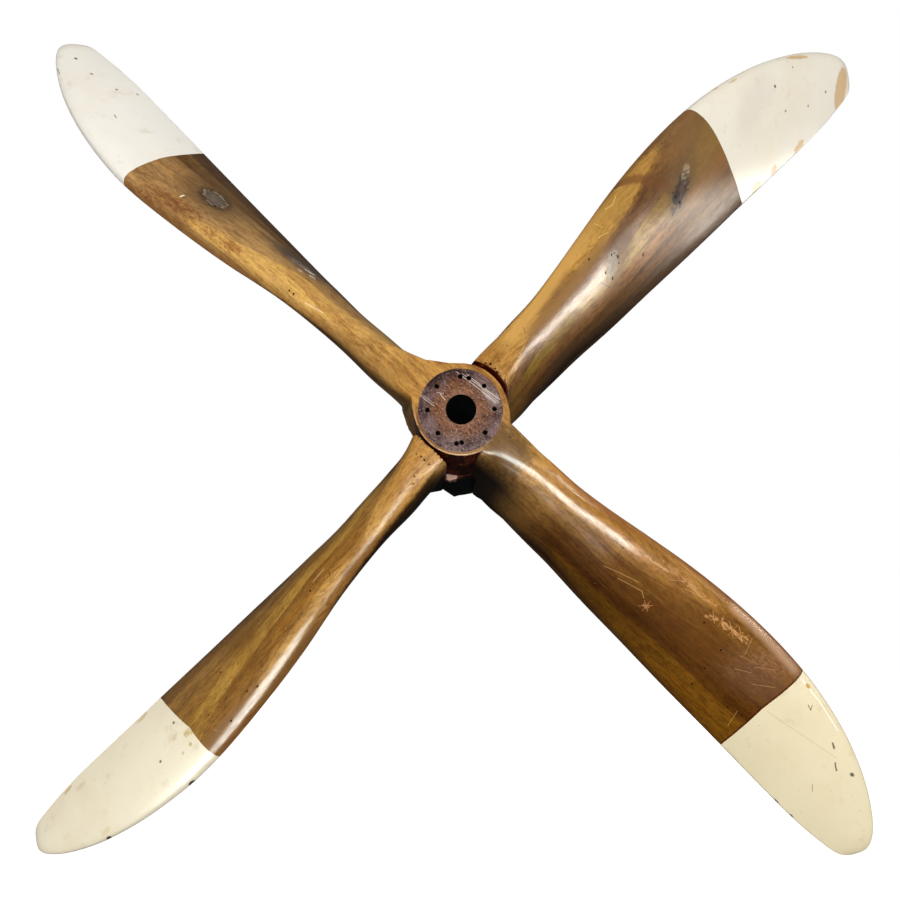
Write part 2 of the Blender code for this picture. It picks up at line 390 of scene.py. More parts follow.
# share of the chord that the round nose takes
NOSE = 0.008

# added squareness of the root at the trailing half, in front and behind, as (amount, reach, power)
TRAIL_BLOCK = (1.5, 0.03, 1.0)
FRONT_BLOCK = (2.8, 0.16, 1.3)
BACK_BLOCK = (2.6, 0.08, 1.3)

# radii between which creases begin and cease to be rounded, and the way from an edge to full softness
SOFT_START = (0.085, 0.135)
SOFT_END = (0.58, 0.33)
FRONT_SOFT = 0.016
STATIONS = (
    Station(0.100, (0.0110, 0.1070), (-0.0110, -0.0985), 0.0500, 0.0500, 1.00),
    Station(0.150, (0.0345, 0.0960), (-0.0335, -0.0820), 0.0510, 0.0435, 1.00),
    Station(0.210, (0.0485, 0.0885), (-0.0455, -0.0700), 0.0460, 0.0420, 0.90),
    Station(0.280, (0.0570, 0.0835), (-0.0530, -0.0610), 0.0420, 0.0370, 0.70),
    Station(0.360, (0.0710, 0.0785), (-0.0580, -0.0545), 0.0400, 0.0250, 0.45),
    Station(0.460, (0.0885, 0.0770), (-0.0660, -0.0515), 0.0430, 0.0110, 0.20),
    Station(0.600, (0.1120, 0.0700), (-0.0730, -0.0485), 0.0380, 0.0030, 0.05),
    Station(0.760, (0.1280, 0.0590), (-0.0805, -0.0495), 0.0305, 0.0015, 0.05),
    Station(0.930, (0.1310, 0.0395), (-0.0870, -0.0460), 0.0240, 0.0010, 0.05),
    Station(1.080, (0.1100, 0.0235), (-0.0930, -0.0450), 0.0185, 0.0010, 0.05),
    Station(1.200, (0.0760, 0.0065), (-0.0965, -0.0440), 0.0145, 0.0010, 0.05),
    Station(1.290, (0.0350, -0.0085), (-0.0920, -0.0430), 0.0110, 0.0010, 0.05),
    Station(1.340, (0.0015, -0.0190), (-0.0840, -0.0410), 0.0085, 0.0010, 0.05),
    Station(1.370, (-0.0400, -0.0380), (-0.0400, -0.0380), 0.0040, 0.0010, 0.05),
)
INNER_SECTION = (0.007, 0.110, -0.007, -0.102, 0.050, 0.050, 1.0)
CAMBER = (
    (0.000, 0.10), (0.015, 0.34), (0.055, 0.63), (0.130, 0.86), (0.250, 0.99),
    (0.400, 0.98), (0.560, 0.90), (0.720, 0.69), (0.870, 0.40), (1.000, 0.10),
)


def smooth_row(knots: Sequence[float], rows: Sequence[Sequence[float]], position: float) -> list[float]:
    """Interpolate the rows of a table with a cubic curve.

    Args:
        knots: rising positions of the rows.
        rows: the rows of numbers.
        position: where to read the table.

    Returns:
        One number for each column.
    """
    cell = min(max(bisect_right(knots, position) - 1, 0), len(knots) - 2)
    width = knots[cell + 1] - knots[cell]
    share = (position - knots[cell]) / width

    def slope(index: int, column: int) -> float:
        """Slope of one column at one knot.

        Args:
            index: number of the knot.
            column: number of the column.

        Returns:
            The slope.
        """
        if index in (0, len(knots) - 1):
            near = 1 if index == 0 else index
            return (rows[near][column] - rows[near - 1][column]) / (knots[near] - knots[near - 1])
        left = knots[index] - knots[index - 1]
        right = knots[index + 1] - knots[index]
        before = (rows[index][column] - rows[index - 1][column]) / left
        after = (rows[index + 1][column] - rows[index][column]) / right
        return (before * right + after * left) / (left + right)

    result = []
    for column in range(len(rows[0])):
        first = slope(cell, column) * width
        last = slope(cell + 1, column) * width
        result.append(
            (2.0 * share ** 3 - 3.0 * share ** 2 + 1.0) * rows[cell][column]
            + (share ** 3 - 2.0 * share ** 2 + share) * first
            + (3.0 * share ** 2 - 2.0 * share ** 3) * rows[cell + 1][column]
            + (share ** 3 - share ** 2) * last
        )
    return result


def ease_flat(height: float, softness: float = 0.008) -> float:
    """Bend a height softly into the flat front or rear face of the hub.

    Args:
        height: height forwards of the blade's axis.
        softness: distance from the face at which the bend starts.

    Returns:
        The bent height.
    """
    for limit, sign in ((FRONT_HEIGHT, 1.0), (REAR_HEIGHT, -1.0)):
        past = sign * (height - limit)
        if past >= softness:
            height = limit
        elif past > -softness:
            height = limit - sign * (softness - past) ** 2 / (4.0 * softness)
    return height


def share_between(value: float, start: float, end: float) -> float:
    """Give how far a value lies between two others.

    Args:
        value: the value.
        start: where the share is 0.
        end: where the share is 1, which may lie below start.

    Returns:
        The share from 0 to 1.
    """
    return max(0.0, min(1.0, (value - start) / (end - start)))


def superellipse(fraction: float, power: float) -> float:
    """Give the height of a rounded block.

    Args:
        fraction: place along the chord from 0 to 1.
        power: squareness of the block.

    Returns:
        The height from 0 to 1.
    """
    return (1.0 - abs(2.0 * min(max(fraction, 0.004), 0.996) - 1.0) ** power) ** (1.0 / power)


@dataclass(frozen=True)
class BladeShape:
    """One twisted blade with its worn tip.

    Attributes:
        side: which blade it is.
        wear: length lost at the tip.
        soft_front: how far the creases of the front side are rounded near the root.
        soft_back: the same behind the leading edge.
        rings: number of rings from the root to the tip.
        around: number of points of a ring.
    """

    side: Side
    wear: float
    soft_front: float
    soft_back: float
    rings: int = 130
    around: int = 84

    def section_point(self, radius: float, values: Sequence[float], turn: float) -> Vector:
        """Find a point of a section's outline.

        Args:
            radius: radius of the section.
            values: its numbers, as Station.values gives them.
            turn: place on the outline, from 0 at the leading edge over the front and back to 1.

        Returns:
            The point as (sideways, forwards).
        """
        lead = Vector(values[0:2])
        trail = Vector(values[2:4])
        upper_size, lower_size, block = values[4:7]
        chord = trail - lead
        normal = Vector((-chord.y, chord.x)).normalized()
        if normal.y < 0.0:
            normal.negate()
        on_top = turn <= 0.5
        share = 2.0 * turn if on_top else 2.0 - 2.0 * turn
        fraction = 0.5 - 0.5 * math.cos(math.pi * share)
        outward = max(0.0, radius - ROOT)
        near_lead = FRONT_BLOCK if on_top else BACK_BLOCK
        amount, reach, bend = TRAIL_BLOCK if fraction >= 0.5 else near_lead
        power = 3.2 - 0.9 * share_between(outward, 0.0, 0.2)
        power += amount * share_between(outward, reach, 0.0) ** bend
        full = superellipse(fraction, power)
        if on_top:
            thin = smooth_row([row[0] for row in CAMBER], [row[1:] for row in CAMBER], fraction)[0]
            size = upper_size
        else:
            thin = max(superellipse(fraction, 2.3), 0.3)
            size = -lower_size
        nose = 1.0 - min(fraction, 1.0 - fraction, NOSE) / NOSE
        height = ((1.0 - block) * thin + block * full) * math.sqrt(max(0.0, 1.0 - nose * nose))
        return lead + chord * fraction + normal * size * height

    def ring(self, step: int, knots: Sequence[float], rows: Sequence[Sequence[float]]) -> list[Vector]:
        """Return the points of one ring, with creases near the root rounded over.

        Args:
            step: number of the ring, from the inner one.
            knots: positions of the section table.
            rows: numbers of the section table.

        Returns:
            Points in the lying blade's frame, from the leading edge over the front and back.
        """
        radius = INNER_RADIUS
        values = INNER_SECTION
        if step > 0:
            position = (step - 1) / (self.rings - 1)
            radius = ROOT + (TIP_RADIUS - ROOT) * math.sin(math.pi * position / 2.0)
            values = smooth_row(knots, rows, position)
        outline = []
        for index in range(self.around):
            point = self.section_point(radius, values, index / self.around)
            outline.append(Vector((point.x, ease_flat(point.y))))
        fade = share_between(radius, *SOFT_END) * share_between(radius, *SOFT_START)
        if fade > 0.0:
            outline = self.round_over(outline, fade)
        wear = self.wear * share_between(radius, WEAR_START, TIP_RADIUS) ** 2
        points = [Vector((radius - wear, REAR_HEIGHT - point.y, point.x)) for point in outline]
        return points + [points[0].copy()]

    def round_over(self, outline: Sequence[Vector], fade: float) -> list[Vector]:
        """Average the points of an outline over a short length, more on the soft side.

        Args:
            outline: points as (sideways, forwards).
            fade: strength of the rounding from 0 to 1.

        Returns:
            The rounded outline.
        """
        count = len(outline)
        steps = [(outline[(i + 1) % count] - outline[i]).length for i in range(count)]
        places = [sum(steps[:i]) for i in range(count)]
        whole = sum(steps)
        result = []
        for i, place in enumerate(places):
            from_edge = share_between(min(place, places[count // 2] - place), 0.0, FRONT_SOFT)
            share = from_edge * from_edge * (3.0 - 2.0 * from_edge)
            reach = fade * (self.soft_back + (self.soft_front - self.soft_back) * share)
            if reach < 0.0005:
                result.append(outline[i])
                continue
            total = Vector((0.0, 0.0))
            weights = 0.0
            for j, other in enumerate(places):
                apart = abs(place - other)
                apart = min(apart, whole - apart)
                if apart < 2.5 * reach:
                    weight = math.exp(-0.5 * (apart / reach) ** 2) * (steps[j] + steps[j - 1])
                    total += outline[j] * weight
                    weights += weight
            result.append(total / weights)
        return result

    def build(self) -> bmesh.types.BMesh:
        """Make the whole blade.

        Returns:
            A closed bmesh in its place.
        """
        span = TIP_RADIUS - ROOT
        knots = [math.asin((row.radius - ROOT) / span) * 2.0 / math.pi for row in STATIONS]
        rows = [row.values() for row in STATIONS]
        rings = [self.ring(step, knots, rows) for step in range(self.rings + 1)]
        shape = bmesh.new()
        bmesh.ops.create_grid(shape, x_segments=self.rings, y_segments=self.around, size=0.5)
        for vert in shape.verts:
            step = round((vert.co.x + 0.5) * self.rings)
            turn = round((vert.co.y + 0.5) * self.around)
            vert.co = rings[step][turn]
        bmesh.ops.remove_doubles(shape, verts=shape.verts, dist=0.00001)
        bmesh.ops.holes_fill(shape, edges=[edge for edge in shape.edges if edge.is_boundary])
        bmesh.ops.recalc_face_normals(shape, faces=shape.faces)
        bmesh.ops.transform(shape, matrix=self.side.turn, verts=shape.verts)
        return shape


# solid tools


def add_object(name: str, shape: bmesh.types.BMesh) -> bpy.types.Object:
    """Store a bmesh in a new object at the origin.

    Args:
        name: name of the object.
        shape: the bmesh, which is freed.

    Returns:
        The object.
    """
    mesh = bpy.data.meshes.new(name)
    shape.to_mesh(mesh)
    shape.free()
    made = bpy.data.objects.new(name, mesh)
    bpy.context.scene.collection.objects.link(made)
    return made


def combine(target: bpy.types.Object, tool: bpy.types.Object, operation: str) -> None:
    """Apply one Boolean operation and remove the tool.

    Args:
        target: the object that changes.
        tool: the object that acts on it.
        operation: UNION, DIFFERENCE or INTERSECT.
    """
    change = target.modifiers.new("combine", "BOOLEAN")
    change.operation = operation
    change.solver = "MANIFOLD"
    change.object = tool
    bpy.context.view_layer.update()
    graph = bpy.context.evaluated_depsgraph_get()
    result = bpy.data.meshes.new_from_object(target.evaluated_get(graph))
    target.modifiers.clear()
    old = target.data
    target.data = result
    bpy.data.meshes.remove(old)
    bpy.data.objects.remove(tool, do_unlink=True)


def cylinder(shape: bmesh.types.BMesh, radius: float, front: float, back: float,
             centre: tuple[float, float] = (0.0, 0.0), segments: int = 32, lip: float = 0.0) -> None:
    """Add a closed cylinder along the shaft to a bmesh.

    Args:
        shape: the bmesh.
        radius: its radius.
        front: depth of its front end.
        back: depth of its back end.
        centre: its place as (x, z).
        segments: its number of sides.
        lip: width of the rounding of its rims.
    """
    made = bmesh.ops.create_cone(shape, cap_ends=True, segments=segments, radius1=radius,
                                 radius2=radius, depth=back - front)
    verts = made["verts"]
    bmesh.ops.rotate(shape, verts=verts, matrix=Matrix.Rotation(math.pi / 2.0, 3, "X"))
    bmesh.ops.translate(shape, verts=verts, vec=(centre[0], (front + back) / 2.0, centre[1]))
    if lip > 0.0:
        own = set(verts)
        rim = [edge for edge in shape.edges if set(edge.verts) <= own
               and abs(edge.verts[0].co.y - edge.verts[1].co.y) < 1e-6]
        bmesh.ops.bevel(shape, geom=rim, offset=lip, segments=3, profile=0.5, affect="EDGES", material=-1)


def around_shaft(angle: float, radius: float) -> tuple[float, float]:
    """Find a point on a circle around the shaft.

    Args:
        angle: its angle in degrees.
        radius: its distance from the shaft.

    Returns:
        The point as (x, z).
    """
    turn = math.radians(angle)
    return radius * math.cos(turn), radius * math.sin(turn)


def box(low: Sequence[float], high: Sequence[float], turn: Matrix) -> bmesh.types.BMesh:
    """Make a box turned about the shaft.

    Args:
        low: its low corner.
        high: its high corner.
        turn: turn about the shaft.

    Returns:
        The closed bmesh.
    """
    shape = bmesh.new()
    bmesh.ops.create_cube(shape, size=1.0)
    bmesh.ops.scale(shape, verts=shape.verts, vec=Vector(high) - Vector(low))
    bmesh.ops.translate(shape, verts=shape.verts, vec=(Vector(high) + Vector(low)) / 2.0)
    bmesh.ops.transform(shape, verts=shape.verts, matrix=turn)
    return shape


def prism(front: Sequence[tuple[float, float]], back: Sequence[tuple[float, float]],
          depths: tuple[float, float], turn: Matrix) -> bmesh.types.BMesh:
    """Return a ruled prism between two outlines of (along, sideways) points.

    Args:
        front: outline at the front depth.
        back: outline at the back depth, with as many points.
        depths: the two depths.
        turn: turn about the shaft.

    Returns:
        The closed bmesh.
    """
    shape = bmesh.new()
    loops = []
    for outline, depth in zip((front, back), depths):
        ring = [shape.verts.new((along, depth, sideways)) for along, sideways in outline]
        face = shape.faces.new(ring)
        loops.extend(face.edges)
    bmesh.ops.bridge_loops(shape, edges=loops)
    bmesh.ops.triangulate(shape, faces=shape.faces, quad_method="FIXED", ngon_method="EAR_CLIP")
    bmesh.ops.recalc_face_normals(shape, faces=shape.faces)
    bmesh.ops.transform(shape, verts=shape.verts, matrix=turn)
    return shape


def smooth_faces(piece: bpy.types.Object, degrees: float) -> None:
    """Shade a piece smoothly.

    Args:
        piece: the piece.
        degrees: angle from which an edge stays sharp.
    """
    shape = bmesh.new()
    shape.from_mesh(piece.data)
    bmesh.ops.remove_doubles(shape, verts=shape.verts, dist=0.000005)
    bmesh.ops.recalc_face_normals(shape, faces=shape.faces)
    for face in shape.faces:
        face.smooth = True
    shape.to_mesh(piece.data)
    shape.free()
    piece.data.set_sharp_from_angle(angle=math.radians(degrees))


def place_piece(piece: bpy.types.Object, material: bpy.types.Material,
                nodes: Iterable[str]) -> None:
    """Dress a piece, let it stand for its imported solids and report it.

    Args:
        piece: the piece.
        material: its material.
        nodes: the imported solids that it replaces.
    """
    piece.data.materials.clear()
    piece.data.materials.append(material)
    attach(piece, "root")
    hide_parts(*nodes)
    LOG.info("%s: %d faces", piece.name, len(piece.data.polygons))


# finishes


@dataclass(frozen=True)
class Spot:
    """A stain, scar, rubbed place or patch of painted shade, as an ellipse with a ragged edge.

    Attributes:
        along: distance from the shaft in millimetres.
        sideways: distance from the blade axis in millimetres.
        length: half length along the blade in millimetres.
        width: half width across it in millimetres.
        colour: its colour.
        strength: how far it covers what is under it.
        lean: turn of the spot in degrees.
        edge: softness of its edge.
        ragged: how far its edge wanders.
        patchy: how far fine streaks break it up.
        dull: how far the gloss is gone from it.
    """

    along: float
    sideways: float
    length: float
    width: float
    colour: Colour
    strength: float = 1.0
    lean: float = 0.0
    edge: float = 0.4
    ragged: float = 0.5
    patchy: float = 0.0
    dull: float = 0.0

    def mask(self, graph: "Surface") -> Field:
        """Draw the spot on a surface.

        Args:
            graph: the material.

        Returns:
            A mask from 0 to the strength of the spot.
        """
        turn = math.radians(self.lean)
        along = graph.along - self.along * MM
        sideways = graph.sideways - self.sideways * MM
        length = (along * math.cos(turn) + sideways * math.sin(turn)) / (self.length * MM)
        width = (sideways * math.cos(turn) - along * math.sin(turn)) / (self.width * MM)
        distance = graph.math("SQRT", length * length + width * width) + graph.ragged * self.ragged
        mask = distance.rise(1.0 + self.edge, 1.0 - self.edge) * self.strength
        if self.patchy > 0.0:
            mask = mask * (1.0 - graph.streaky * self.patchy)
        return mask


@dataclass(frozen=True)
class Scratch:
    """A thin mark between two points.

    Attributes:
        start: one end as (along, sideways) in millimetres.
        end: the other end.
        width: half width in millimetres.
        colour: its colour.
        strength: how far it covers what is under it.
    """

    start: tuple[float, float]
    end: tuple[float, float]
    width: float
    colour: Colour
    strength: float = 1.0

    def mask(self, graph: "Surface") -> Field:
        """Draw the scratch on a surface.

        Args:
            graph: the material.

        Returns:
            A mask from 0 to the strength of the scratch.
        """
        step = (Vector(self.end) - Vector(self.start)) * MM
        half = step.length / 2.0
        unit = step.normalized()
        width = self.width * MM
        along = graph.along - self.start[0] * MM
        sideways = graph.sideways - self.start[1] * MM
        on_line = along * unit.x + sideways * unit.y
        off_line = (sideways * unit.x - along * unit.y + graph.ragged * (width * 1.5)).size()
        ends = (on_line - half).size() - half
        return off_line.most(ends).rise(width, width * 0.3) * self.strength


@dataclass(frozen=True)
class Band:
    """A soft stripe down the blade, which fades at its ends.

    Attributes:
        points: its middle line as (along, sideways) points in millimetres.
        width: half width in millimetres.
        colour: its colour.
        strength: how far it covers what is under it.
        edge: softness of its edges.
    """

    points: tuple[tuple[float, float], ...]
    width: float
    colour: Colour
    strength: float = 1.0
    edge: float = 0.5

    def mask(self, graph: "Surface") -> Field:
        """Draw the stripe on a surface.

        Args:
            graph: the material.

        Returns:
            A mask from 0 to the strength of the stripe.
        """
        points = [(along * MM, sideways * MM) for along, sideways in self.points]
        start, end = points[0][0], points[-1][0]
        width = self.width * MM
        centre = graph.profile(graph.along, points)
        off_line = (graph.sideways - centre + graph.ragged * (width * 0.5)).size()
        mask = off_line.rise(width * (1.0 + self.edge), width * (1.0 - self.edge))
        fade = (end - start) * 0.15
        ends = graph.along.rise(start, start + fade) * graph.along.rise(end, end - fade)
        return mask * ends * self.strength


Mark = Spot | Scratch | Band


def scratches(width: float, colour: Colour, strength: float,
              *rows: tuple[float, float, float, float]) -> list[Scratch]:
    """Make scratches of one kind.

    Args:
        width: half width in millimetres.
        colour: their colour.
        strength: how far they cover what is under them.
        rows: their ends as (along, sideways, along, sideways) in millimetres.

    Returns:
        One scratch for each row.
    """
    return [Scratch(row[:2], row[2:], width, colour, strength) for row in rows]


class Surface(Graph):
    """Material in the coordinates of one blade, in metres.

    Attributes:
        right: distance to the right of the shaft.
        up: distance above the shaft.
        along: distance from the shaft along the blade.
        sideways: distance from the blade axis.
        forwards: distance in front of the blade axis.
        run: along, with the same sign for both blades of a pair.
        cross: sideways, with the same sign for both blades of a pair.
        ragged: noise that makes edges wander.
        streaky: fine streaks along the blade.
        worn: where the gloss is gone.
    """

    def __init__(self, name: str, side: Side) -> None:
        """Start with the distances along, across and in front of the blade.

        Args:
            name: name of the material.
            side: the blade.
        """
        super().__init__(name)
        self.right, depth, self.up = self.parts(self.place)
        self.forwards = REAR_HEIGHT - depth
        angle = math.radians(side.value)
        self.along = self.dot(self.place, (math.cos(angle), 0.0, math.sin(angle)))
        self.sideways = self.dot(self.place, (-math.sin(angle), 0.0, math.cos(angle)))
        sign = 1.0 if math.sin(angle) > 0.0 else -1.0
        self.run = self.along * sign
        self.cross = self.sideways * sign
        self.ragged = self.grain(self.place, 95.0, 3.0, 0.6) - 0.5
        self.streaky = self.grain(self.stretched(0.0, 55.0, 190.0), 1.0, 3.0, 0.6, 0.8).rise(0.56, 0.44)
        self.worn: Field | float = 0.0

    def stretched(self, bend: Field | float, run: float, cross: float) -> Field:
        """Give coordinates that draw a wandering texture out along the blade."""
        return self.vector(self.run * run, (self.cross + bend) * cross, (self.forwards + bend) * cross)

    def distance(self, right: float = 0.0, up: float = 0.0) -> Field:
        """Measure the distance from a line along the shaft.

        Args:
            right: how far the line lies to the right of the shaft.
            up: how far it lies above it.

        Returns:
            The distance.
        """
        across = self.right - right
        above = self.up - up
        return self.math("SQRT", across * across + above * above)

    def with_marks(self, colour: Field, marks: Iterable[Mark]) -> Field:
        """Lay marks over a colour in their order.

        Args:
            colour: the colour under them.
            marks: the marks.

        Returns:
            The new colour. The field worn holds where their gloss is gone.
        """
        for mark in marks:
            mask = mark.mask(self)
            if isinstance(mark, Spot) and mark.dull > 0.0:
                self.worn = (mask * mark.dull + self.worn).least(1.0)
            colour = self.blend(mask, colour, mark.colour)
        return colour


@dataclass(frozen=True)
class WoodFinish:
    """Glossy aged varnish over the glued boards of one blade.

    Attributes:
        side: the blade.
        boards: colours of the boards from the front one back.
        shift: how far forward the first joints lie, as (along, distance) points.
        joint: darkness of the joints.
        start: where the boards begin to differ and where they fully do.
        blur: softness of the change from board to board.
        lead_shade: colour and strength of the leading edge.
        trail_shade: colour and strength of the trailing edge.
        marks: stains, scars and scratches, and some painted shade and painted highlights.
        dull_lead: how far the gloss is worn off the leading edge.
    """

    side: Side
    boards: tuple[Colour, ...]
    shift: tuple[tuple[float, float], ...] = ((0.0, 0.0), (1.0, 0.0))
    joint: float = 0.5
    start: tuple[float, float] = (0.10, 0.17)
    blur: float = 0.005
    lead_shade: tuple[Colour, float, float] = ("502d19", 0.5, 0.012)
    trail_shade: tuple[Colour, float, float] = ("3c2a23", 0.8, 0.020)
    marks: tuple[Mark, ...] = ()
    dull_lead: float = 0.0

    def grain_colour(self, graph: Surface, colour: Field) -> tuple[Field, Field]:
        """Lay streaks, fibres and clouds over the board colours.

        Args:
            graph: the material.
            colour: colour of the boards.

        Returns:
            The new colour and the relief.
        """
        bend = graph.grain(graph.place, 3.0, 2.0) * 0.012
        long = graph.grain(graph.stretched(bend, 1.6, 42.0), 1.0, 4.0, 0.65, 0.6)
        medium = graph.grain(graph.stretched(bend, 7.0, 110.0), 1.0, 4.0, 0.7, 0.4)
        fine = graph.grain(graph.stretched(bend, 42.0, 190.0), 1.0, 4.0, 0.75)
        pores = graph.grain(graph.stretched(bend, 110.0, 330.0), 1.0, 2.0, 0.6)
        clouds = graph.grain(graph.place, 7.0, 4.0, 0.6)
        blots = graph.grain(graph.place, 34.0, 5.0, 0.75, 0.5)
        for field, start, end, share, tint in (
                (long, 0.44, 0.66, 0.42, "a58058"), (medium, 0.47, 0.62, 0.18, "a0744a"),
                (fine, 0.47, 0.60, 0.42, "966a42"), (clouds, 0.48, 0.66, 0.34, "a5805a"),
                (blots, 0.52, 0.68, 0.18, "986a46"), (pores, 0.61, 0.69, 0.45, "603e24")):
            colour = graph.blend(field.rise(start, end) * share, colour, tint, "MULTIPLY")
        for field, start, end, share, tint in (
                (long, 0.50, 0.30, 0.30, "e6b969"), (medium, 0.46, 0.32, 0.22, "ebc378"),
                (fine, 0.46, 0.32, 0.36, "f5d28c")):
            colour = graph.blend(field.rise(start, end) * share, colour, tint, "SOFT_LIGHT")
        return colour, long * 0.2 + medium * 0.3 + fine * 0.5

    def edge_colour(self, graph: Surface, colour: Field) -> tuple[Field, Field]:
        """Darken the leading and trailing edges.

        Args:
            graph: the material.
            colour: colour of the wood.

        Returns:
            The new colour and a mask of the dull edges.
        """
        rows = [row for row in STATIONS if row.radius >= 0.15]
        lead = graph.profile(graph.along, [(row.radius, row.lead[0]) for row in rows])
        trail = graph.profile(graph.along, [(row.radius, row.trail[0]) for row in rows])
        wander = graph.ragged * 0.012
        outer = graph.along.rise(0.18, 0.34)
        worn = (lead - graph.sideways).rise(0.024, 0.006) * self.dull_lead
        for distance, shade in ((lead - graph.sideways + wander, self.lead_shade),
                                (graph.sideways - trail + wander, self.trail_shade)):
            mask = distance.rise(shade[2], shade[2] * 0.1) * outer
            colour = graph.blend(mask * shade[1], colour, shade[0])
        return colour, mask.most(worn)

    def board_colour(self, graph: Surface) -> Field:
        """Colour the boards and darken their joints.

        Args:
            graph: the material.

        Returns:
            The colour of the boards.
        """
        outward = graph.along.rise(*self.start)
        depth = FRONT_HEIGHT - graph.forwards + graph.profile(graph.along, self.shift) * outward
        stops = []
        for index, colour in enumerate(self.boards):
            half = 0.5 / len(self.boards) - self.blur
            middle = (index + 0.5) / len(self.boards)
            stops.extend(((middle - half, colour), (middle + half, colour)))
        boards = graph.ramp((depth + graph.ragged * 0.004) / HUB_DEPTH, stops)
        row = graph.math("FLOORED_MODULO", depth + BOARD / 2.0, BOARD) - BOARD / 2.0
        joints = (row + graph.ragged * 0.0015).size().rise(0.0012, 0.0003)
        colour = graph.blend(outward, HUB_WOOD, boards)
        return graph.blend(joints * outward * self.joint, colour, "6e4123", "MULTIPLY")

    def build(self) -> bpy.types.Material:
        """Make the material of one blade and its half of the hub.

        Returns:
            The finished material.
        """
        graph = Surface(self.side.label + "_varnish", self.side)
        colour, height = self.grain_colour(graph, self.board_colour(graph))
        colour, edge = self.edge_colour(graph, colour)
        colour = graph.with_marks(colour, self.marks)
        colour, rough, open_air = HubFinish(self.side).lay(graph, colour)
        coat = open_air * (0.5 - edge * 0.42) * (height.rise(0.60, 0.42) * 0.6 + 0.65) * (1.0 - graph.worn)
        return graph.finish(colour, rough + edge * 0.35, height, depth=0.0006, Specular_IOR_Level=0.1,
                            Coat_Weight=coat, Coat_Roughness=0.25)


HUB_WOOD = "b48847"
PALE = "cdc0b6"

# scratches of the front face, as (right, up, right, up, strength) in millimetres
FACE_SCRATCHES = (
    (-8, 80, 74, 15, 0.8), (4, 76, 60, 34, 0.5), (14, 74, 40, 53, 0.8), (18, 66, 78, 21, 0.5),
    (40, 52, 82, 20, 0.8), (44, 44, 80, 14, 0.7), (46, 36, 74, 12, 0.8), (52, 28, 72, 10, 0.5),
    (-84, 30, -56, 8, 0.7), (-78, 30, -56, 14, 0.4), (-49, 37, -36, 33, 0.7), (-42, 33, -33, 21, 0.9),
    (43, -81, 72, -56, 0.6),
)


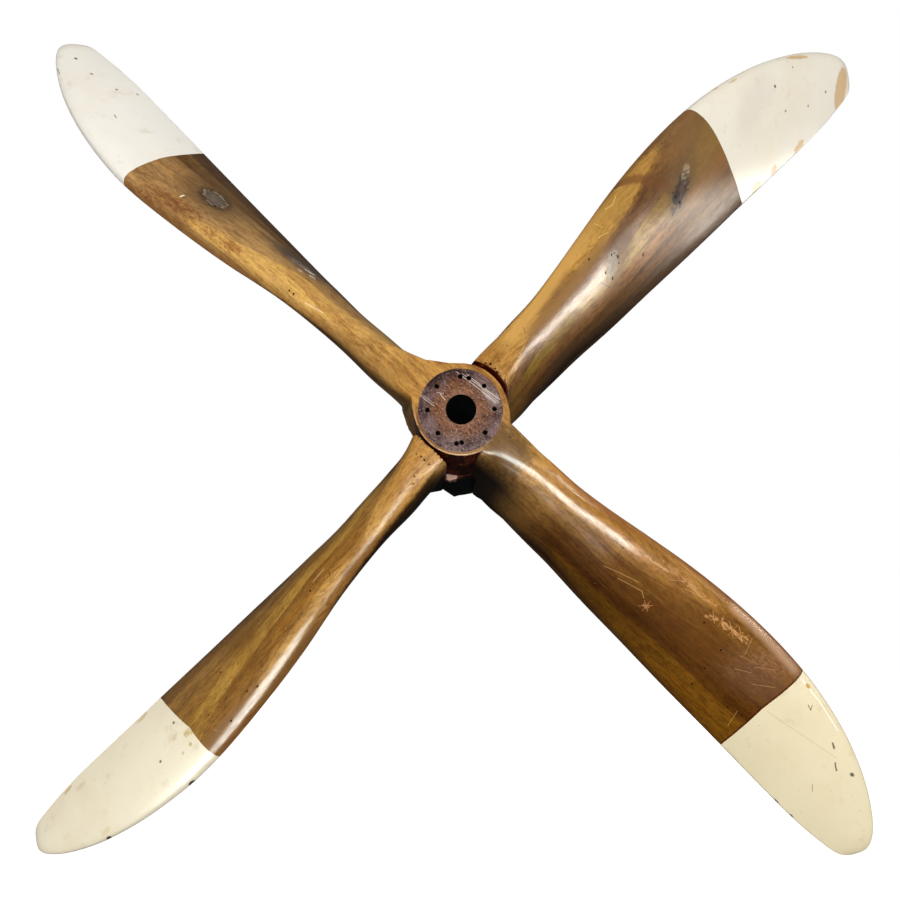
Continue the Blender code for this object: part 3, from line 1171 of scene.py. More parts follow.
@dataclass(frozen=True)
class HubFinish:
    """Plate mark, red varnished walls, painted rim highlight and painted shade in the holes and under the
    hub, on the half of one blade.
    """

    side: Side

    def face_marks(self) -> list[Mark]:
        """Gather the pale scratches of the plate mark.

        Returns:
            The marks in the blade's coordinates.
        """
        lean = -38.0 - self.side.value
        marks: list[Mark] = [Spot(*self.side.in_blade(64, 28), 26, 12, PALE, 0.2, lean, 0.5, 1.2, 0.9)]
        for right, up, end_right, end_up, strength in FACE_SCRATCHES:
            start = self.side.in_blade(right, up)
            marks.append(Scratch(start, self.side.in_blade(end_right, end_up), 0.9, PALE, strength))
        return marks

    def plate(self, graph: Surface, centre: Field, clouds: Field) -> Field:
        """Colour the disc that the steel plate covered.

        Args:
            graph: the material.
            centre: distance from the shaft.
            clouds: soft noise.

        Returns:
            The colour of the disc.
        """
        inner = (centre + (clouds - 0.5) * 0.06).rise(0.078, 0.046)
        drift = graph.dot(graph.place, (0.79, 0.0, -0.61))
        across = graph.dot(graph.place, (0.61, 0.0, 0.79))
        smears = graph.grain(graph.vector(drift * 30.0, across * 200.0, graph.forwards), 1.0, 4.0, 0.7)
        warm = graph.blend(smears.rise(0.36, 0.64), "80542e", "603c2c")
        near_bore = centre.rise(0.050, 0.036) * clouds.rise(0.6, 0.4)
        specks = graph.grain(graph.place, 230.0, 3.0, 0.65)
        colour = graph.blend(clouds.rise(0.38, 0.62), "2a1b1d", "6c5652")
        for mask, tint in (
                (inner * 0.8, warm), (smears.rise(0.52, 0.70) * 0.6, "462618"),
                (smears.rise(0.42, 0.30) * 0.35, "a88264"), (near_bore * 0.45, "966e58"),
                (specks.rise(0.55, 0.64) * 0.8, "1e0f0e"), (specks.rise(0.40, 0.32) * 0.5, "c4ac9e")):
            colour = graph.blend(mask, colour, tint)
        return graph.with_marks(colour, self.face_marks())

    def face(self, graph: Surface, colour: Field, centre: Field, clouds: Field) -> tuple[Field, Field]:
        """Lay the plate mark, a darker ring around it and a painted highlight along the lower rim over the
        front face.

        Args:
            graph: the material.
            colour: colour of the hub.
            centre: distance from the shaft.
            clouds: soft noise.

        Returns:
            The new colour and the mask of the disc.
        """
        face = graph.forwards.rise(FRONT_HEIGHT - 0.0016, FRONT_HEIGHT - 0.0013)
        disc = (graph.distance(-0.0014, -0.0022) + graph.ragged * 0.0040).rise(0.0892, 0.0876) * face
        colour = graph.blend(disc, colour, self.plate(graph, centre, clouds))
        lower = face * graph.up.rise(0.03, -0.03) * graph.right.rise(0.050, 0.020)
        ring = centre.rise(0.0860, 0.0900) * centre.rise(0.0990, 0.0980) * lower * (1.0 - disc)
        colour = graph.blend(ring * 0.8, colour, "623c24")
        # painted highlight: a pale line along the lower left rim of the face, in place of light on its
        # rounded edge
        rim = centre.rise(0.0940, 0.0962) * centre.rise(0.0990, 0.0975) * lower
        return graph.blend(rim * 0.55 * clouds.rise(0.35, 0.5), colour, "deb076"), disc

    def walls(self, graph: Surface, colour: Field, centre: Field, clouds: Field) -> Field:
        """Lay the red varnish of the boss or of the shoulders over the wood, with painted shade on the lower
        rear walls.

        Args:
            graph: the material.
            colour: colour of the wood.
            centre: distance from the shaft.
            clouds: soft noise.

        Returns:
            The new colour.
        """
        limits = (0.1003, 0.0997) if self.side.is_front else (0.1130, 0.1115)
        wall = centre.rise(*limits) * graph.forwards.rise(FRONT_HEIGHT - 0.0008, FRONT_HEIGHT - 0.0024)
        red = graph.blend(clouds.rise(0.46, 0.62), "3c0c04", "782c10")
        chips = graph.grain(graph.place, 170.0, 2.0, 0.5).rise(0.63, 0.69) * clouds.rise(0.42, 0.55)
        red = graph.blend(chips * 0.8, red, "c47e54")
        if self.side.is_front:
            return graph.blend(wall, colour, red)
        wall = wall.most(centre.rise(0.118, 0.114) * graph.forwards.rise(0.006, 0.003))
        # painted shade: the rear walls turn near black towards the bottom of the rear half
        red = graph.blend(graph.forwards.rise(0.0, -0.012) * graph.up.rise(-0.03, -0.08), red, "0c0301")
        patch = graph.distance(-0.0198, -0.099) + graph.ragged * 0.012
        ledge = patch.rise(0.014, 0.010) * graph.forwards.rise(-0.012, -0.006)
        ledge = ledge * graph.forwards.rise(0.012, 0.008) * 0.9
        return graph.blend(ledge, graph.blend(wall, colour, red), "d6aa96")

    def lay(self, graph: Surface, colour: Field) -> tuple[Field, Field, Field]:
        """Lay the hub's colours over the wood.

        Args:
            graph: the material.
            colour: colour of the wood.

        Returns:
            The new colour, the roughness and a mask of all but the holes and the painted shade under the
            hub.
        """
        centre = graph.distance()
        clouds = graph.grain(graph.place, 30.0, 5.0, 0.7, 0.4)
        rough = clouds * 0.16 + 0.28
        # painted shade: the lower hub behind the front face is coloured near black and loses its gloss, in
        # place of the shadow under the boss
        deep = centre.rise(0.27, 0.15) * graph.forwards.rise(0.088, 0.040) * graph.up.rise(-0.03, -0.08)
        colour = self.walls(graph, graph.blend(deep * 0.97, colour, "140702"), centre, clouds)
        if self.side.is_front:
            colour, disc = self.face(graph, colour, centre, clouds)
            rough = rough + disc * 0.10
        # painted shade: the insides of the bore, bolt holes and pin holes are coloured near black and lose
        # their gloss
        inside = centre.rise(0.0805, 0.0795) * (graph.forwards - 0.004).size().rise(0.0905, 0.0895)
        colour = graph.blend(inside, colour, (0.001, 0.0008, 0.0006))
        return colour, rough + inside * 0.5 + deep * 0.35, (1.0 - inside) * (1.0 - deep * 0.9)


@dataclass(frozen=True)
class PaintFinish:
    """Cream gloss paint of one tip.

    Attributes:
        side: the blade.
        colour: colour of the clean paint on this tip, partly set as painted light and shade.
        marks: its chips, nicks, smudges, scratches and painted highlights. A spot with a sharp edge is a
            chip.
    """

    side: Side
    colour: Colour
    marks: tuple[Mark, ...] = ()

    def build(self) -> bpy.types.Material:
        """Make the material of one painted tip.

        Returns:
            The finished material.
        """
        graph = Surface(self.side.label + "_paint", self.side)
        clouds = graph.grain(graph.place, 7.0, 4.0, 0.6)
        strokes = graph.vector(graph.along * 6.0, graph.sideways * 70.0, graph.forwards * 30.0)
        dirt = graph.grain(graph.place, 24.0, 4.0, 0.65)
        specks = graph.grain(graph.place, 190.0, 2.0, 0.5)
        darker = tuple(part * shade for part, shade in zip(linear(self.colour), (0.93, 0.89, 0.82)))
        colour = graph.blend(clouds.rise(0.42, 0.72) * 0.6, self.colour, darker)
        colour = graph.blend(dirt.rise(0.56, 0.74) * 0.35, colour, "c4b291")
        colour = graph.blend(specks.rise(0.735, 0.775) * 0.6, colour, "967855")
        chips: Field | float = 0.0
        for mark in self.marks:
            mask = mark.mask(graph)
            if isinstance(mark, Spot) and mark.edge < CHIP_EDGE:
                chips = mask.most(chips)
            colour = graph.blend(mask, colour, mark.colour)
        height = graph.grain(strokes, 1.0, 3.0, 0.5) * 0.25 + (1.0 - chips) * 0.75
        return graph.finish(colour, clouds * 0.2 + 0.22, height, depth=0.0008, Coat_Weight=0.3,
                            Coat_Roughness=0.15)


# sub-assemblies


@dataclass(frozen=True)
class Hub:
    """Boss with its bore, bolt holes, pin holes and plate mark.

    Attributes:
        boss_radius: radius of the boss.
        lip: rounding of its rims.
        shoulder: distance of the board ends from the shaft.
        bore: radius of the bore.
        bolt_circle: radius of the circle of bolt holes.
        bolt_hole: radius of a bolt hole.
        spare_holes: two more holes, as (angle, distance from the shaft).
        plate_radius: radius of the pressed mark.
        plate_depth: its depth.
        pin_circle: radius of the circle of pin holes.
        pin_hole: radius of a pin hole.
        pin_depth: its depth.
    """

    boss_radius: float = 0.0975
    lip: float = 0.0014
    shoulder: float = 0.1020
    bore: float = 0.0320
    bolt_circle: float = 0.0697
    bolt_hole: float = 0.0052
    spare_holes: tuple[tuple[float, float], ...] = ((74.9, 0.0682), (261.4, 0.0724))
    plate_radius: float = 0.0855
    plate_depth: float = 0.0009
    pin_circle: float = 0.0475
    pin_hole: float = 0.0016
    pin_depth: float = 0.006

    def core(self) -> bpy.types.Object:
        """Make the boss without its holes.

        Returns:
            The plain solid.
        """
        shape = bmesh.new()
        cylinder(shape, self.boss_radius, -HUB_DEPTH, 0.0, segments=192, lip=self.lip)
        return add_object("core", shape)

    def drill(self, target: bpy.types.Object) -> None:
        """Cut the bore and the bolt holes.

        Args:
            target: the wooden piece.
        """
        shape = bmesh.new()
        cylinder(shape, self.bore, -HUB_DEPTH - BEYOND, BEYOND, segments=96)
        places = [(45.0 * step, self.bolt_circle) for step in range(8)]
        for angle, radius in (*places, *self.spare_holes):
            cylinder(shape, self.bolt_hole, -HUB_DEPTH - BEYOND, BEYOND, around_shaft(angle, radius), 28)
        combine(target, add_object("drills", shape), "DIFFERENCE")

    def mark_face(self, target: bpy.types.Object) -> None:
        """Press the plate's mark and its seven pin holes into the front face.

        Args:
            target: the wooden piece.
        """
        shape = bmesh.new()
        cylinder(shape, self.plate_radius, -HUB_DEPTH - BEYOND, -HUB_DEPTH + self.plate_depth, segments=160)
        combine(target, add_object("plate_mark", shape), "DIFFERENCE")
        shape = bmesh.new()
        for step in (0, 1, 2, 3, 5, 6, 7):
            cylinder(shape, self.pin_hole, -HUB_DEPTH - BEYOND, -HUB_DEPTH + self.pin_depth,
                     around_shaft(22.5 + 45.0 * step, self.pin_circle), 12)
        combine(target, add_object("pins", shape), "DIFFERENCE")


# fillets between blades and boss, as front and back points (along, sideways, along, sideways)
FRONT_FLARE = (
    (0.020, 0.000, 0.020, 0.000), (0.020, 0.0954, 0.020, 0.0954), (0.045, 0.0868, 0.045, 0.0880),
    (0.060, 0.0785, 0.060, 0.0835), (0.070, 0.0715, 0.070, 0.0805), (0.079, 0.0650, 0.080, 0.0775),
    (0.087, 0.0570, 0.093, 0.0745), (0.098, 0.0475, 0.113, 0.0625), (0.112, 0.0390, 0.134, 0.0515),
    (0.110, 0.0300, 0.150, 0.0380), (0.093, 0.0200, 0.150, 0.0200), (0.093, 0.000, 0.150, 0.000),
)
REAR_FLARE = (
    (0.010, 0.000, 0.010, 0.000), (0.010, 0.0985, 0.010, 0.1008), (0.035, 0.0945, 0.035, 0.1008),
    (0.048, 0.0868, 0.050, 0.0950), (0.060, 0.0785, 0.066, 0.0835), (0.072, 0.0715, 0.076, 0.0755),
    (0.085, 0.0655, 0.086, 0.0700), (0.095, 0.0600, 0.088, 0.0600), (0.112, 0.0440, 0.092, 0.0360),
    (0.112, 0.000, 0.092, 0.000),
)
TRAILING_FILLET = (
    (0.020, 0.000, 0.020, 0.000), (0.020, -0.0954, 0.020, -0.0954), (0.045, -0.0868, 0.045, -0.0868),
    (0.060, -0.0770, 0.060, -0.0770), (0.072, -0.0660, 0.072, -0.0660), (0.086, -0.0530, 0.086, -0.0530),
    (0.104, -0.0400, 0.104, -0.0460), (0.122, -0.0270, 0.122, -0.0420), (0.122, 0.000, 0.122, 0.000),
)



# how far fillets reach past the middle of the hub
FLARE_OVERLAP = 0.005

# chips of the board ends: arcs of the two blades and steps in degrees, sizes and distances from the ends
CHIP_ARCS = ((-48.0, 34.0), (-40.0, 30.0))
CHIP_STEP = (2.6, 5.5)
CHIP_SIZE = (0.0022, 0.0048)
CHIP_SHIFT = (-0.0006, 0.0010)

# cone that slopes the worn board ends of the upper right blade
WORN_RADII = (0.1070, 0.0985)
WORN_DEPTH = 0.020
WORN_CENTRE = (0.0026, 0.008 - HUB_DEPTH, 0.0)

# radii of tack and worm holes in turn, and how deep they go
PRICK_RADII = (0.0017, 0.0022, 0.0027)
PRICK_RISE = 0.006
PRICK_DEPTH = 0.007


@dataclass(frozen=True)
class Blade:
    """One blade with its finishes.

    Attributes:
        shape: its form.
        paint_line: where the paint starts, as (sideways, along) points.
        wood: finish of its wood.
        paint: finish of its tip.
        pricks: tack and worm holes, as (along, sideways, forwards) points in millimetres.
    """

    shape: BladeShape
    paint_line: tuple[tuple[float, float], ...]
    wood: WoodFinish
    paint: PaintFinish
    pricks: tuple[tuple[float, float, float], ...]

    @property
    def side(self) -> Side:
        """Which blade it is."""
        return self.shape.side

    def paint_prism(self) -> bmesh.types.BMesh:
        """Make the space of the painted tip.

        Returns:
            The closed bmesh.
        """
        line = self.paint_line
        outline = [(1.5, FAR), (1.5, -FAR), (line[0][1], -FAR)]
        outline.extend((along, sideways) for sideways, along in line)
        outline.append((line[-1][1], FAR))
        return prism(outline, outline, (-0.5, 0.5), self.side.turn)

    def add_tip(self) -> None:
        """Make the painted tip."""
        tip = add_object(self.side.label + "_paint", self.shape.build())
        combine(tip, add_object("mask", self.paint_prism()), "INTERSECT")
        smooth_faces(tip, 40.0)
        place_piece(tip, self.paint.build(), [self.side.label + "_painted_tip"])

    def prick(self, wood: bpy.types.Object) -> None:
        """Cut the small tack and worm holes.

        Args:
            wood: the wooden piece.
        """
        tool = bmesh.new()
        for number, (along, sideways, forwards) in enumerate(self.pricks):
            spot = self.side.turn @ Vector((along * MM, REAR_HEIGHT - forwards * MM, sideways * MM))
            cylinder(tool, PRICK_RADII[number % 3], spot.y - PRICK_RISE, spot.y + PRICK_DEPTH,
                     (spot.x, spot.z), 10)
        combine(wood, add_object("pricks", tool), "DIFFERENCE")


@dataclass(frozen=True)
class BladePair:
    """Two opposite blades that run through the boss, with their painted tips.

    Attributes:
        name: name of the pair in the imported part.
        blades: its two blades.
    """

    name: str
    blades: tuple[Blade, Blade]

    @property
    def is_front(self) -> bool:
        """Whether the pair carries the front half of the boss."""
        return self.blades[0].side.is_front

    def nodes(self) -> list[str]:
        """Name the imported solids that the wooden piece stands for.

        Returns:
            Their names, with the boards that run through first.
        """
        own, other = (range(1, 5), range(5, 9)) if self.is_front else (range(5, 9), range(1, 5))
        names = [f"{self.name}_board_{number}" for number in own]
        for blade in self.blades:
            names.extend(f"{blade.side.label}_board_{number}" for number in other)
        return names

    def join_wood(self, hub: Hub) -> bpy.types.Object:
        """Join blades, boss and fillets into one solid of the full depth.

        Args:
            hub: the hub.

        Returns:
            The solid.
        """
        whole = hub.core()
        flare, depths = REAR_FLARE, (MIDDLE - FLARE_OVERLAP, 0.0)
        if self.is_front:
            flare, depths = FRONT_FLARE, (-HUB_DEPTH, MIDDLE + FLARE_OVERLAP)
        for blade in self.blades:
            combine(whole, add_object("blade", blade.shape.build()), "UNION")
            outlines = (flare, TRAILING_FILLET) if blade.side is Side.UPPER_LEFT else (flare,)
            for outline in outlines:
                ends = [row[:2] for row in outline], [row[2:] for row in outline]
                combine(whole, add_object("flare", prism(*ends, depths, blade.side.turn)), "UNION")
        return whole

    def cut_joint(self, whole: bpy.types.Object, hub: Hub) -> None:
        """Cut away the half of the hub that the other pair fills.

        Args:
            whole: the wooden piece.
            hub: the hub.
        """
        reach = hub.shoulder
        low, high = (-reach, -FAR, -FAR), (0.0, MIDDLE + JOINT_GAP, FAR)
        if self.is_front:
            low, high = (-reach, MIDDLE - JOINT_GAP, -FAR), (reach, FAR, FAR)
        combine(whole, add_object("notch", box(low, high, self.blades[0].side.turn)), "DIFFERENCE")
        if not self.is_front:
            shape = bmesh.new()
            cylinder(shape, reach, -FAR, MIDDLE + JOINT_GAP, segments=160)
            combine(whole, add_object("seat", shape), "DIFFERENCE")

    def chip_ends(self, wood: bpy.types.Object, hub: Hub) -> None:
        """Break small chips from the front edges of the board ends beside the boss.

        Args:
            wood: the wooden piece.
            hub: the hub.
        """
        chance = Random(5)
        tool = bmesh.new()
        for blade, (angle, end) in zip(self.blades, CHIP_ARCS):
            while angle < end:
                size = chance.uniform(*CHIP_SIZE)
                reach = hub.shoulder + chance.uniform(*CHIP_SHIFT)
                turn = math.radians(angle)
                if blade.side is Side.LOWER_LEFT:
                    reach = hub.shoulder / math.cos(turn)
                made = bmesh.ops.create_icosphere(tool, subdivisions=1, radius=size)
                for vert in made["verts"]:
                    vert.co *= chance.uniform(0.75, 1.25)
                    vert.co.y *= 1.3
                    vert.co += Vector((reach * math.cos(turn), -HUB_DEPTH, reach * math.sin(turn)))
                bmesh.ops.transform(tool, verts=made["verts"], matrix=blade.side.turn)
                angle += chance.uniform(*CHIP_STEP)
        combine(wood, add_object("chips", tool), "DIFFERENCE")

    def wear_ends(self, wood: bpy.types.Object) -> None:
        """Slope the worn front edge of the first blade's board ends.

        Args:
            wood: the wooden piece.
        """
        ring = bmesh.new()
        made = bmesh.ops.create_cone(ring, cap_ends=True, segments=120, radius1=WORN_RADII[0],
                                     radius2=WORN_RADII[1], depth=WORN_DEPTH)
        bmesh.ops.rotate(ring, verts=made["verts"], matrix=Matrix.Rotation(-math.pi / 2.0, 3, "X"))
        bmesh.ops.translate(ring, verts=made["verts"], vec=self.blades[0].side.turn @ Vector(WORN_CENTRE))
        combine(wood, add_object("worn_edge", ring), "DIFFERENCE")

    def dress_wood(self, wood: bpy.types.Object) -> None:
        """Give each half of the wooden piece its own finish.

        Args:
            wood: the wooden piece.
        """
        first, second = self.blades
        place_piece(wood, first.wood.build(), self.nodes())
        wood.data.materials.append(second.wood.build())
        direction = first.side.turn @ Vector((1.0, 0.0, 0.0))
        for face in wood.data.polygons:
            face.material_index = 0 if face.center.dot(direction) > 0.0 else 1

    def build(self, hub: Hub) -> None:
        """Make the wooden piece and both painted tips.

        Args:
            hub: the hub.
        """
        wood = self.join_wood(hub)
        wood.name = self.name + "_wood"
        self.cut_joint(wood, hub)
        for blade in self.blades:
            blade.add_tip()
            combine(wood, add_object("mask", blade.paint_prism()), "DIFFERENCE")
        hub.drill(wood)
        if self.is_front:
            hub.mark_face(wood)
        for blade in self.blades:
            blade.prick(wood)
        if not self.is_front:
            self.chip_ends(wood, hub)
            self.wear_ends(wood)
        smooth_faces(wood, 35.0)
        self.dress_wood(wood)


# wood of the four blades, its tack and worm holes, and paint of the tips
UPPER_LEFT_WOOD = WoodFinish(
    Side.UPPER_LEFT,
    boards=("d0a65e", "b6915c", "ac8856", "9e7d50", "725632", "56402a", "403022", "403022"),
    shift=((0.3, -0.004), (0.41, -0.004), (0.46, 0.0025), (0.53, 0.006), (0.6, 0.0067), (0.68, 0.002),
            (0.711, 0.001), (1.0, 0.0)),
    joint=0.3,
    start=(0.1, 0.28),
    blur=0.01,
    lead_shade=("7c4e28", 0.5, 0.016),
    trail_shade=("42342b", 0.8, 0.03),
    marks=(
        # painted shade: a dark band along the trailing side near the root
        Band(((70, -66), (100, -46), (140, -36), (210, -45), (300, -54)), 9, "744622", 0.8, 0.5),
        Spot(800, 100, 80, 16, "703e1e", 0.7, 13.5, 0.5, 2.4, 0.8),
        Spot(740, 80, 50, 14, "704020", 0.6, 13.5, 0.5, 2.6, 0.9),
        Spot(598, 79, 28, 12, "8c5a2c", 0.8, 12, 0.3, 2.2, 0.7),
        Spot(660, 88, 30, 10, "845026", 0.6, 12, 0.3, 2.2, 0.8),
        Spot(765, 4, 88, 54, "60482e", 0.75, -18, 0.7, 0.6),
        Spot(765, 6, 45, 26, "2e241c", 0.9, -18, 0.35, 0.8),
        Spot(765, 6, 37, 20.5, "b0987a", 0.8, -18, 0.1, 0.9, 0.9),
        Spot(765, 6, 32, 16.5, "5c5044", 0.95, -18, 0.12, 0.8),
        Spot(760, 8, 22, 9, "7a6a5c", 0.5, -18, 0.4, 1.6, 0.7),
        Spot(520, -22, 85, 28, "463a32", 0.85, 2, 0.5, 0.8),
        Spot(500, -12, 40, 10, "96887a", 0.6, 8, 0.3, 2.2, 0.9),
        Spot(479.6, -14, 11, 4, "d7cdbe", 0.8, 20, 0.3, 1.8, 0.6),
        Spot(457, -5.5, 8, 4, "d7cdbe", 0.7, 0, 0.3, 1.8, 0.6),
        Spot(476, 7.4, 6, 3, "d2beaa", 0.7, 0, 0.3, 1.5),
        Spot(400, -46, 60, 14, "4a3a30", 0.6, 0, 0.5, 0.6),
        *scratches(0.8, "f5e4c8", 0.85, (397, 61.3, 354.5, 49.5)),
        Spot(783.8, 64.8, 7, 2, "ece4d4", 1, -75, 0.2, 0.6),
    ),
)
LOWER_RIGHT_WOOD = WoodFinish(
    Side.LOWER_RIGHT,
    boards=("a47636", "845b22", "6c4414", "603a0d", "7a5212", "7e5410", "664210", "58360c"),
    shift=((0.6, 0.0), (0.72, -0.001), (0.84, -0.006), (0.95, -0.008)),
    joint=0.35,
    start=(0.16, 0.34),
    blur=0.02,
    lead_shade=("7e4c2a", 0.65, 0.022),
    trail_shade=("462a0c", 0.5, 0.014),
    marks=(
        Spot(125, 6, 58, 50, "4c361e", 0.8, 0, 0.5, 1.4),
        Spot(720, 30, 170, 45, "643e1a", 0.5, 5, 0.8, 0.6),
        Spot(870, 60, 80, 45, "78543c", 0.5, 10, 0.7, 0.6),
        *scratches(3.2, "461608", 0.75, (958.5, -92, 928.9, 15.3), (928.9, 15.3, 916.5, 135)),
        *scratches(0.8, "cd9b5f", 0.75, (446.5, -10.4, 521.8, 10.6), (487.2, -8.7, 544, 5.2),
            (544, 5.2, 558.8, -0.4)),
        *scratches(0.9, "c88c58", 0.8, (566, -14, 584, 2), (564, -2, 588, -10)),
        *scratches(0.8, "c88c58", 0.7, (573, 4, 580, -16)),
        Spot(576.1, -6.2, 8, 5, "c68a58", 0.7, 0, 0.3, 2.6, 1),
        Spot(690, 64, 16, 4, "cd965f", 0.7, 30, 0.3, 3.4, 1),
        Spot(724, 70, 20, 5, "cd965f", 0.85, 12, 0.2, 3.6, 0.9),
        Spot(764, 77, 18, 6, "cd965f", 0.85, 16, 0.2, 3.6, 0.9),
        Spot(625, 74, 45, 4, "c89460", 0.6, 8, 0.2, 3.4, 1),
        Spot(523, 55, 30, 3, "ce9c68", 0.6, 8, 0.2, 3.4, 1),
        Spot(570, 72, 50, 6, "c49260", 0.4, 10, 0.4, 3.4, 1),
        Spot(850, 88, 45, 16, "cea680", 0.12, 14, 0.5, 3, 1),
        Spot(840, 50, 60, 30, "be8c5a", 0.1, 20, 0.5, 3, 1),
        *scratches(0.8, "cd9b64", 0.7, (600, 60, 640, 74)),
        *scratches(0.7, "cd9b64", 0.6, (560, 50, 600, 78), (815, 30, 845, 47), (780, 90, 800, 60)),
        *scratches(0.8, "cd9b64", 0.6, (870, 35, 905, 60)),
        *scratches(0.9, "c8965a", 0.6, (905, -20, 925, -52)),
        *scratches(0.6, "cd9b64", 0.5, (795, 52, 838, 66), (838, 58, 872, 82)),
        *scratches(0.6, "d4a26c", 0.7, (505, 50, 555, 62), (640, 70, 672, 83)),
        *scratches(0.6, "d4a26c", 0.6, (530, 58, 524, 42)),
        *scratches(0.7, "cd965f", 0.8, (676, 70, 700, 58), (700, 75, 724, 62), (716, 80, 750, 66),
            (742, 86, 774, 70)),
        *scratches(0.6, "cd9b64", 0.6, (700, 80, 712, 58), (736, 84, 742, 60), (752, 62, 772, 90)),
        # painted highlight: a soft pinkish sheen along the leading edge near the paint
        Band(((680, 104), (760, 110), (840, 112), (930, 112)), 9, "c49e7e", 0.6, 0.9),
    ),
    dull_lead=1.0,
)
UPPER_RIGHT_WOOD = WoodFinish(
    Side.UPPER_RIGHT,
    boards=("be944e", "7c5a37", "96762c", "8a602c", "6a481c", "563a14", "4a2e0e", "4a2e0e"),
    shift=((0.3, 0.009), (0.469, 0.0085), (0.53, 0.005), (0.6, 0.0036), (0.65, 0.004), (0.72, 0.0),
            (1.0, 0.0)),
    joint=0.3,
    start=(0.1, 0.2),
    blur=0.012,
    lead_shade=("96622c", 0.5, 0.012),
    trail_shade=("3e2814", 0.8, 0.022),
    marks=(
        Band(((130, 22), (210, 38), (280, 47), (360, 60), (460, 76), (580, 96)), 14, "bc904c", 0.9, 0.6),
        Band(((190, 9), (250, 16), (300, 18), (380, 24), (460, 34), (530, 46)), 10, "926c3e", 0.8, 0.8),
        Spot(580, 85, 120, 28, "967134", 0.6, 12, 0.6, 1.2),
        # painted shade: the dark spots along the board ends beside the boss stand in for shadow in the gap;
        # the pale spot between them is crumbled wood
        Spot(100, -40, 8, 34, "543014", 0.8, -22, 0.3, 1.2, 0.3),
        Spot(102, -38, 6, 32, "e2bc80", 0.9, -22, 0.3, 2.6, 0.9),
        Spot(106, 10, 4, 30, "784c24", 0.6, 4, 0.4, 1.6, 0.3),
        Spot(840, 50, 110, 75, "7a5c38", 0.75, 0, 0.7, 0.5),
        *scratches(15, "684224", 0.75, (600, 108, 715, 34)),
        Spot(525, 12, 60, 26, "5c4230", 0.65, 27, 0.6, 0.6, 0, 0.75),
        Spot(487, 1, 23, 12, "b2a898", 0.9, 27, 0.3, 1.2, 0.5, 0.8),
        Spot(494, -2, 14, 8, "8e7c6c", 0.7, 27, 0.4, 1),
        *scratches(1.4, "3e2c1e", 0.8, (446, -8, 466, -22)),
        Spot(752, 20, 62, 28, "5c4632", 0.75, 24, 0.6, 0.8, 0, 0.5),
        Spot(750, 17, 42, 14, "342a28", 0.95, 24, 0.2, 1.6),
        Spot(745, 14, 18, 6, "604636", 0.7, 24, 0.3, 1.6, 0.4),
        Spot(778, 33, 18, 10, "aa9678", 0.7, 24, 0.3, 1.8, 0.8),
        Spot(728, 12, 14, 9, "1e1816", 0.8, 24, 0.2, 1.4),
        *scratches(1, "50341e", 0.8, (224.6, 32.3, 217.9, 19)),
        *scratches(1, "462c18", 0.8, (365.6, -19.8, 362, -35.7), (362, -35.7, 350.5, -54)),
        *scratches(0.9, "e6c478", 0.8, (575.3, 88.1, 551.5, 79.3), (551.5, 79.3, 533.9, 82.9)),
        *scratches(0.9, "e6c478", 0.7, (600, 94, 585, 100)),
        *scratches(0.8, "e2ba70", 0.7, (504.5, 44.9, 476.2, 50.5), (498.2, 59.4, 494, 78.3)),
    ),
)
LOWER_LEFT_WOOD = WoodFinish(
    Side.LOWER_LEFT,
    boards=("bc934e", "90672d", "b08a40", "987238", "96723e", "785832", "543e24", "543e24"),
    shift=((0.3, 0.012), (0.45, 0.014), (0.524, 0.0136), (0.577, 0.009), (0.647, 0.005), (0.707, 0.0006),
            (0.74, -0.001), (1.0, 0.0)),
    joint=0.3,
    start=(0.2, 0.34),
    blur=0.012,
    lead_shade=("80542c", 0.5, 0.014),
    trail_shade=("503a26", 0.65, 0.012),
    marks=(
        *scratches(0.9, "e6c48c", 0.7, (472.9, 23.9, 437.3, 21.6), (483, 55.3, 471.5, 60.4)),
        *scratches(0.9, "e1ba82", 0.8, (845.7, 87.5, 833.2, 101.1)),
        Spot(820, 105, 50, 18, "805c3c", 0.6, 8, 0.6, 0.8),
        Spot(200, 20, 20, 8, "825428", 0.6, 30, 0.4, 1.6, 0.6),
        Band(((500, 80), (600, 96), (700, 106), (800, 104), (930, 98)), 13, "704e2a", 0.75, 0.7),
        # painted shade: a near-black band down the right-hand side of the root
        Band(((90, 58), (200, 67), (300, 75), (400, 90), (520, 110)), 14, "1e0e03", 0.95, 0.3),
    ),
)
UPPER_LEFT_PRICKS = (
    (787.6, 7.4, 25.6), (802.2, -8.7, 14), (783, -10.2, 14.4), (741.1, 2.6, 27.3), (734, 11.4, 33.6),
    (736.1, 24.2, 41.2), (747.4, 21.3, 38.2), (436.8, 65.3, 88.2), (425.8, 64.4, 87.8),
)
LOWER_RIGHT_PRICKS = (
    (328.3, -5.2, 61.3), (443.6, 30.4, 81.1), (464, -36.6, 17.1), (113.6, 28.5, 96), (759.8, 35.2, 44.7),
    (792.8, -42.9, -10.8), (775.9, -7.3, 16.8), (685.2, 45.3, 59.7), (884.6, -27.4, -2.4),
)
UPPER_RIGHT_PRICKS = (
    (501.7, 12.7, 63.4), (492.8, 13.5, 65.1), (509.7, 4.5, 55.7), (509.1, -4.3, 48.4),
    (464.2, -1.5, 56.4), (480.8, -15.2, 41.2), (722, 22.6, 42), (727.9, 12.8, 35.1), (736.1, 1.8, 27.2),
    (771.3, 7.5, 27.5), (106.3, 31.1, 96), (112.2, 22, 96), (130.3, 13.8, 96), (111.5, 8.6, 96),
    (109.2, 0.7, 96), (167.7, 26, 96), (433.5, 34.6, 83.3), (590.8, -21.2, 23.4),
)
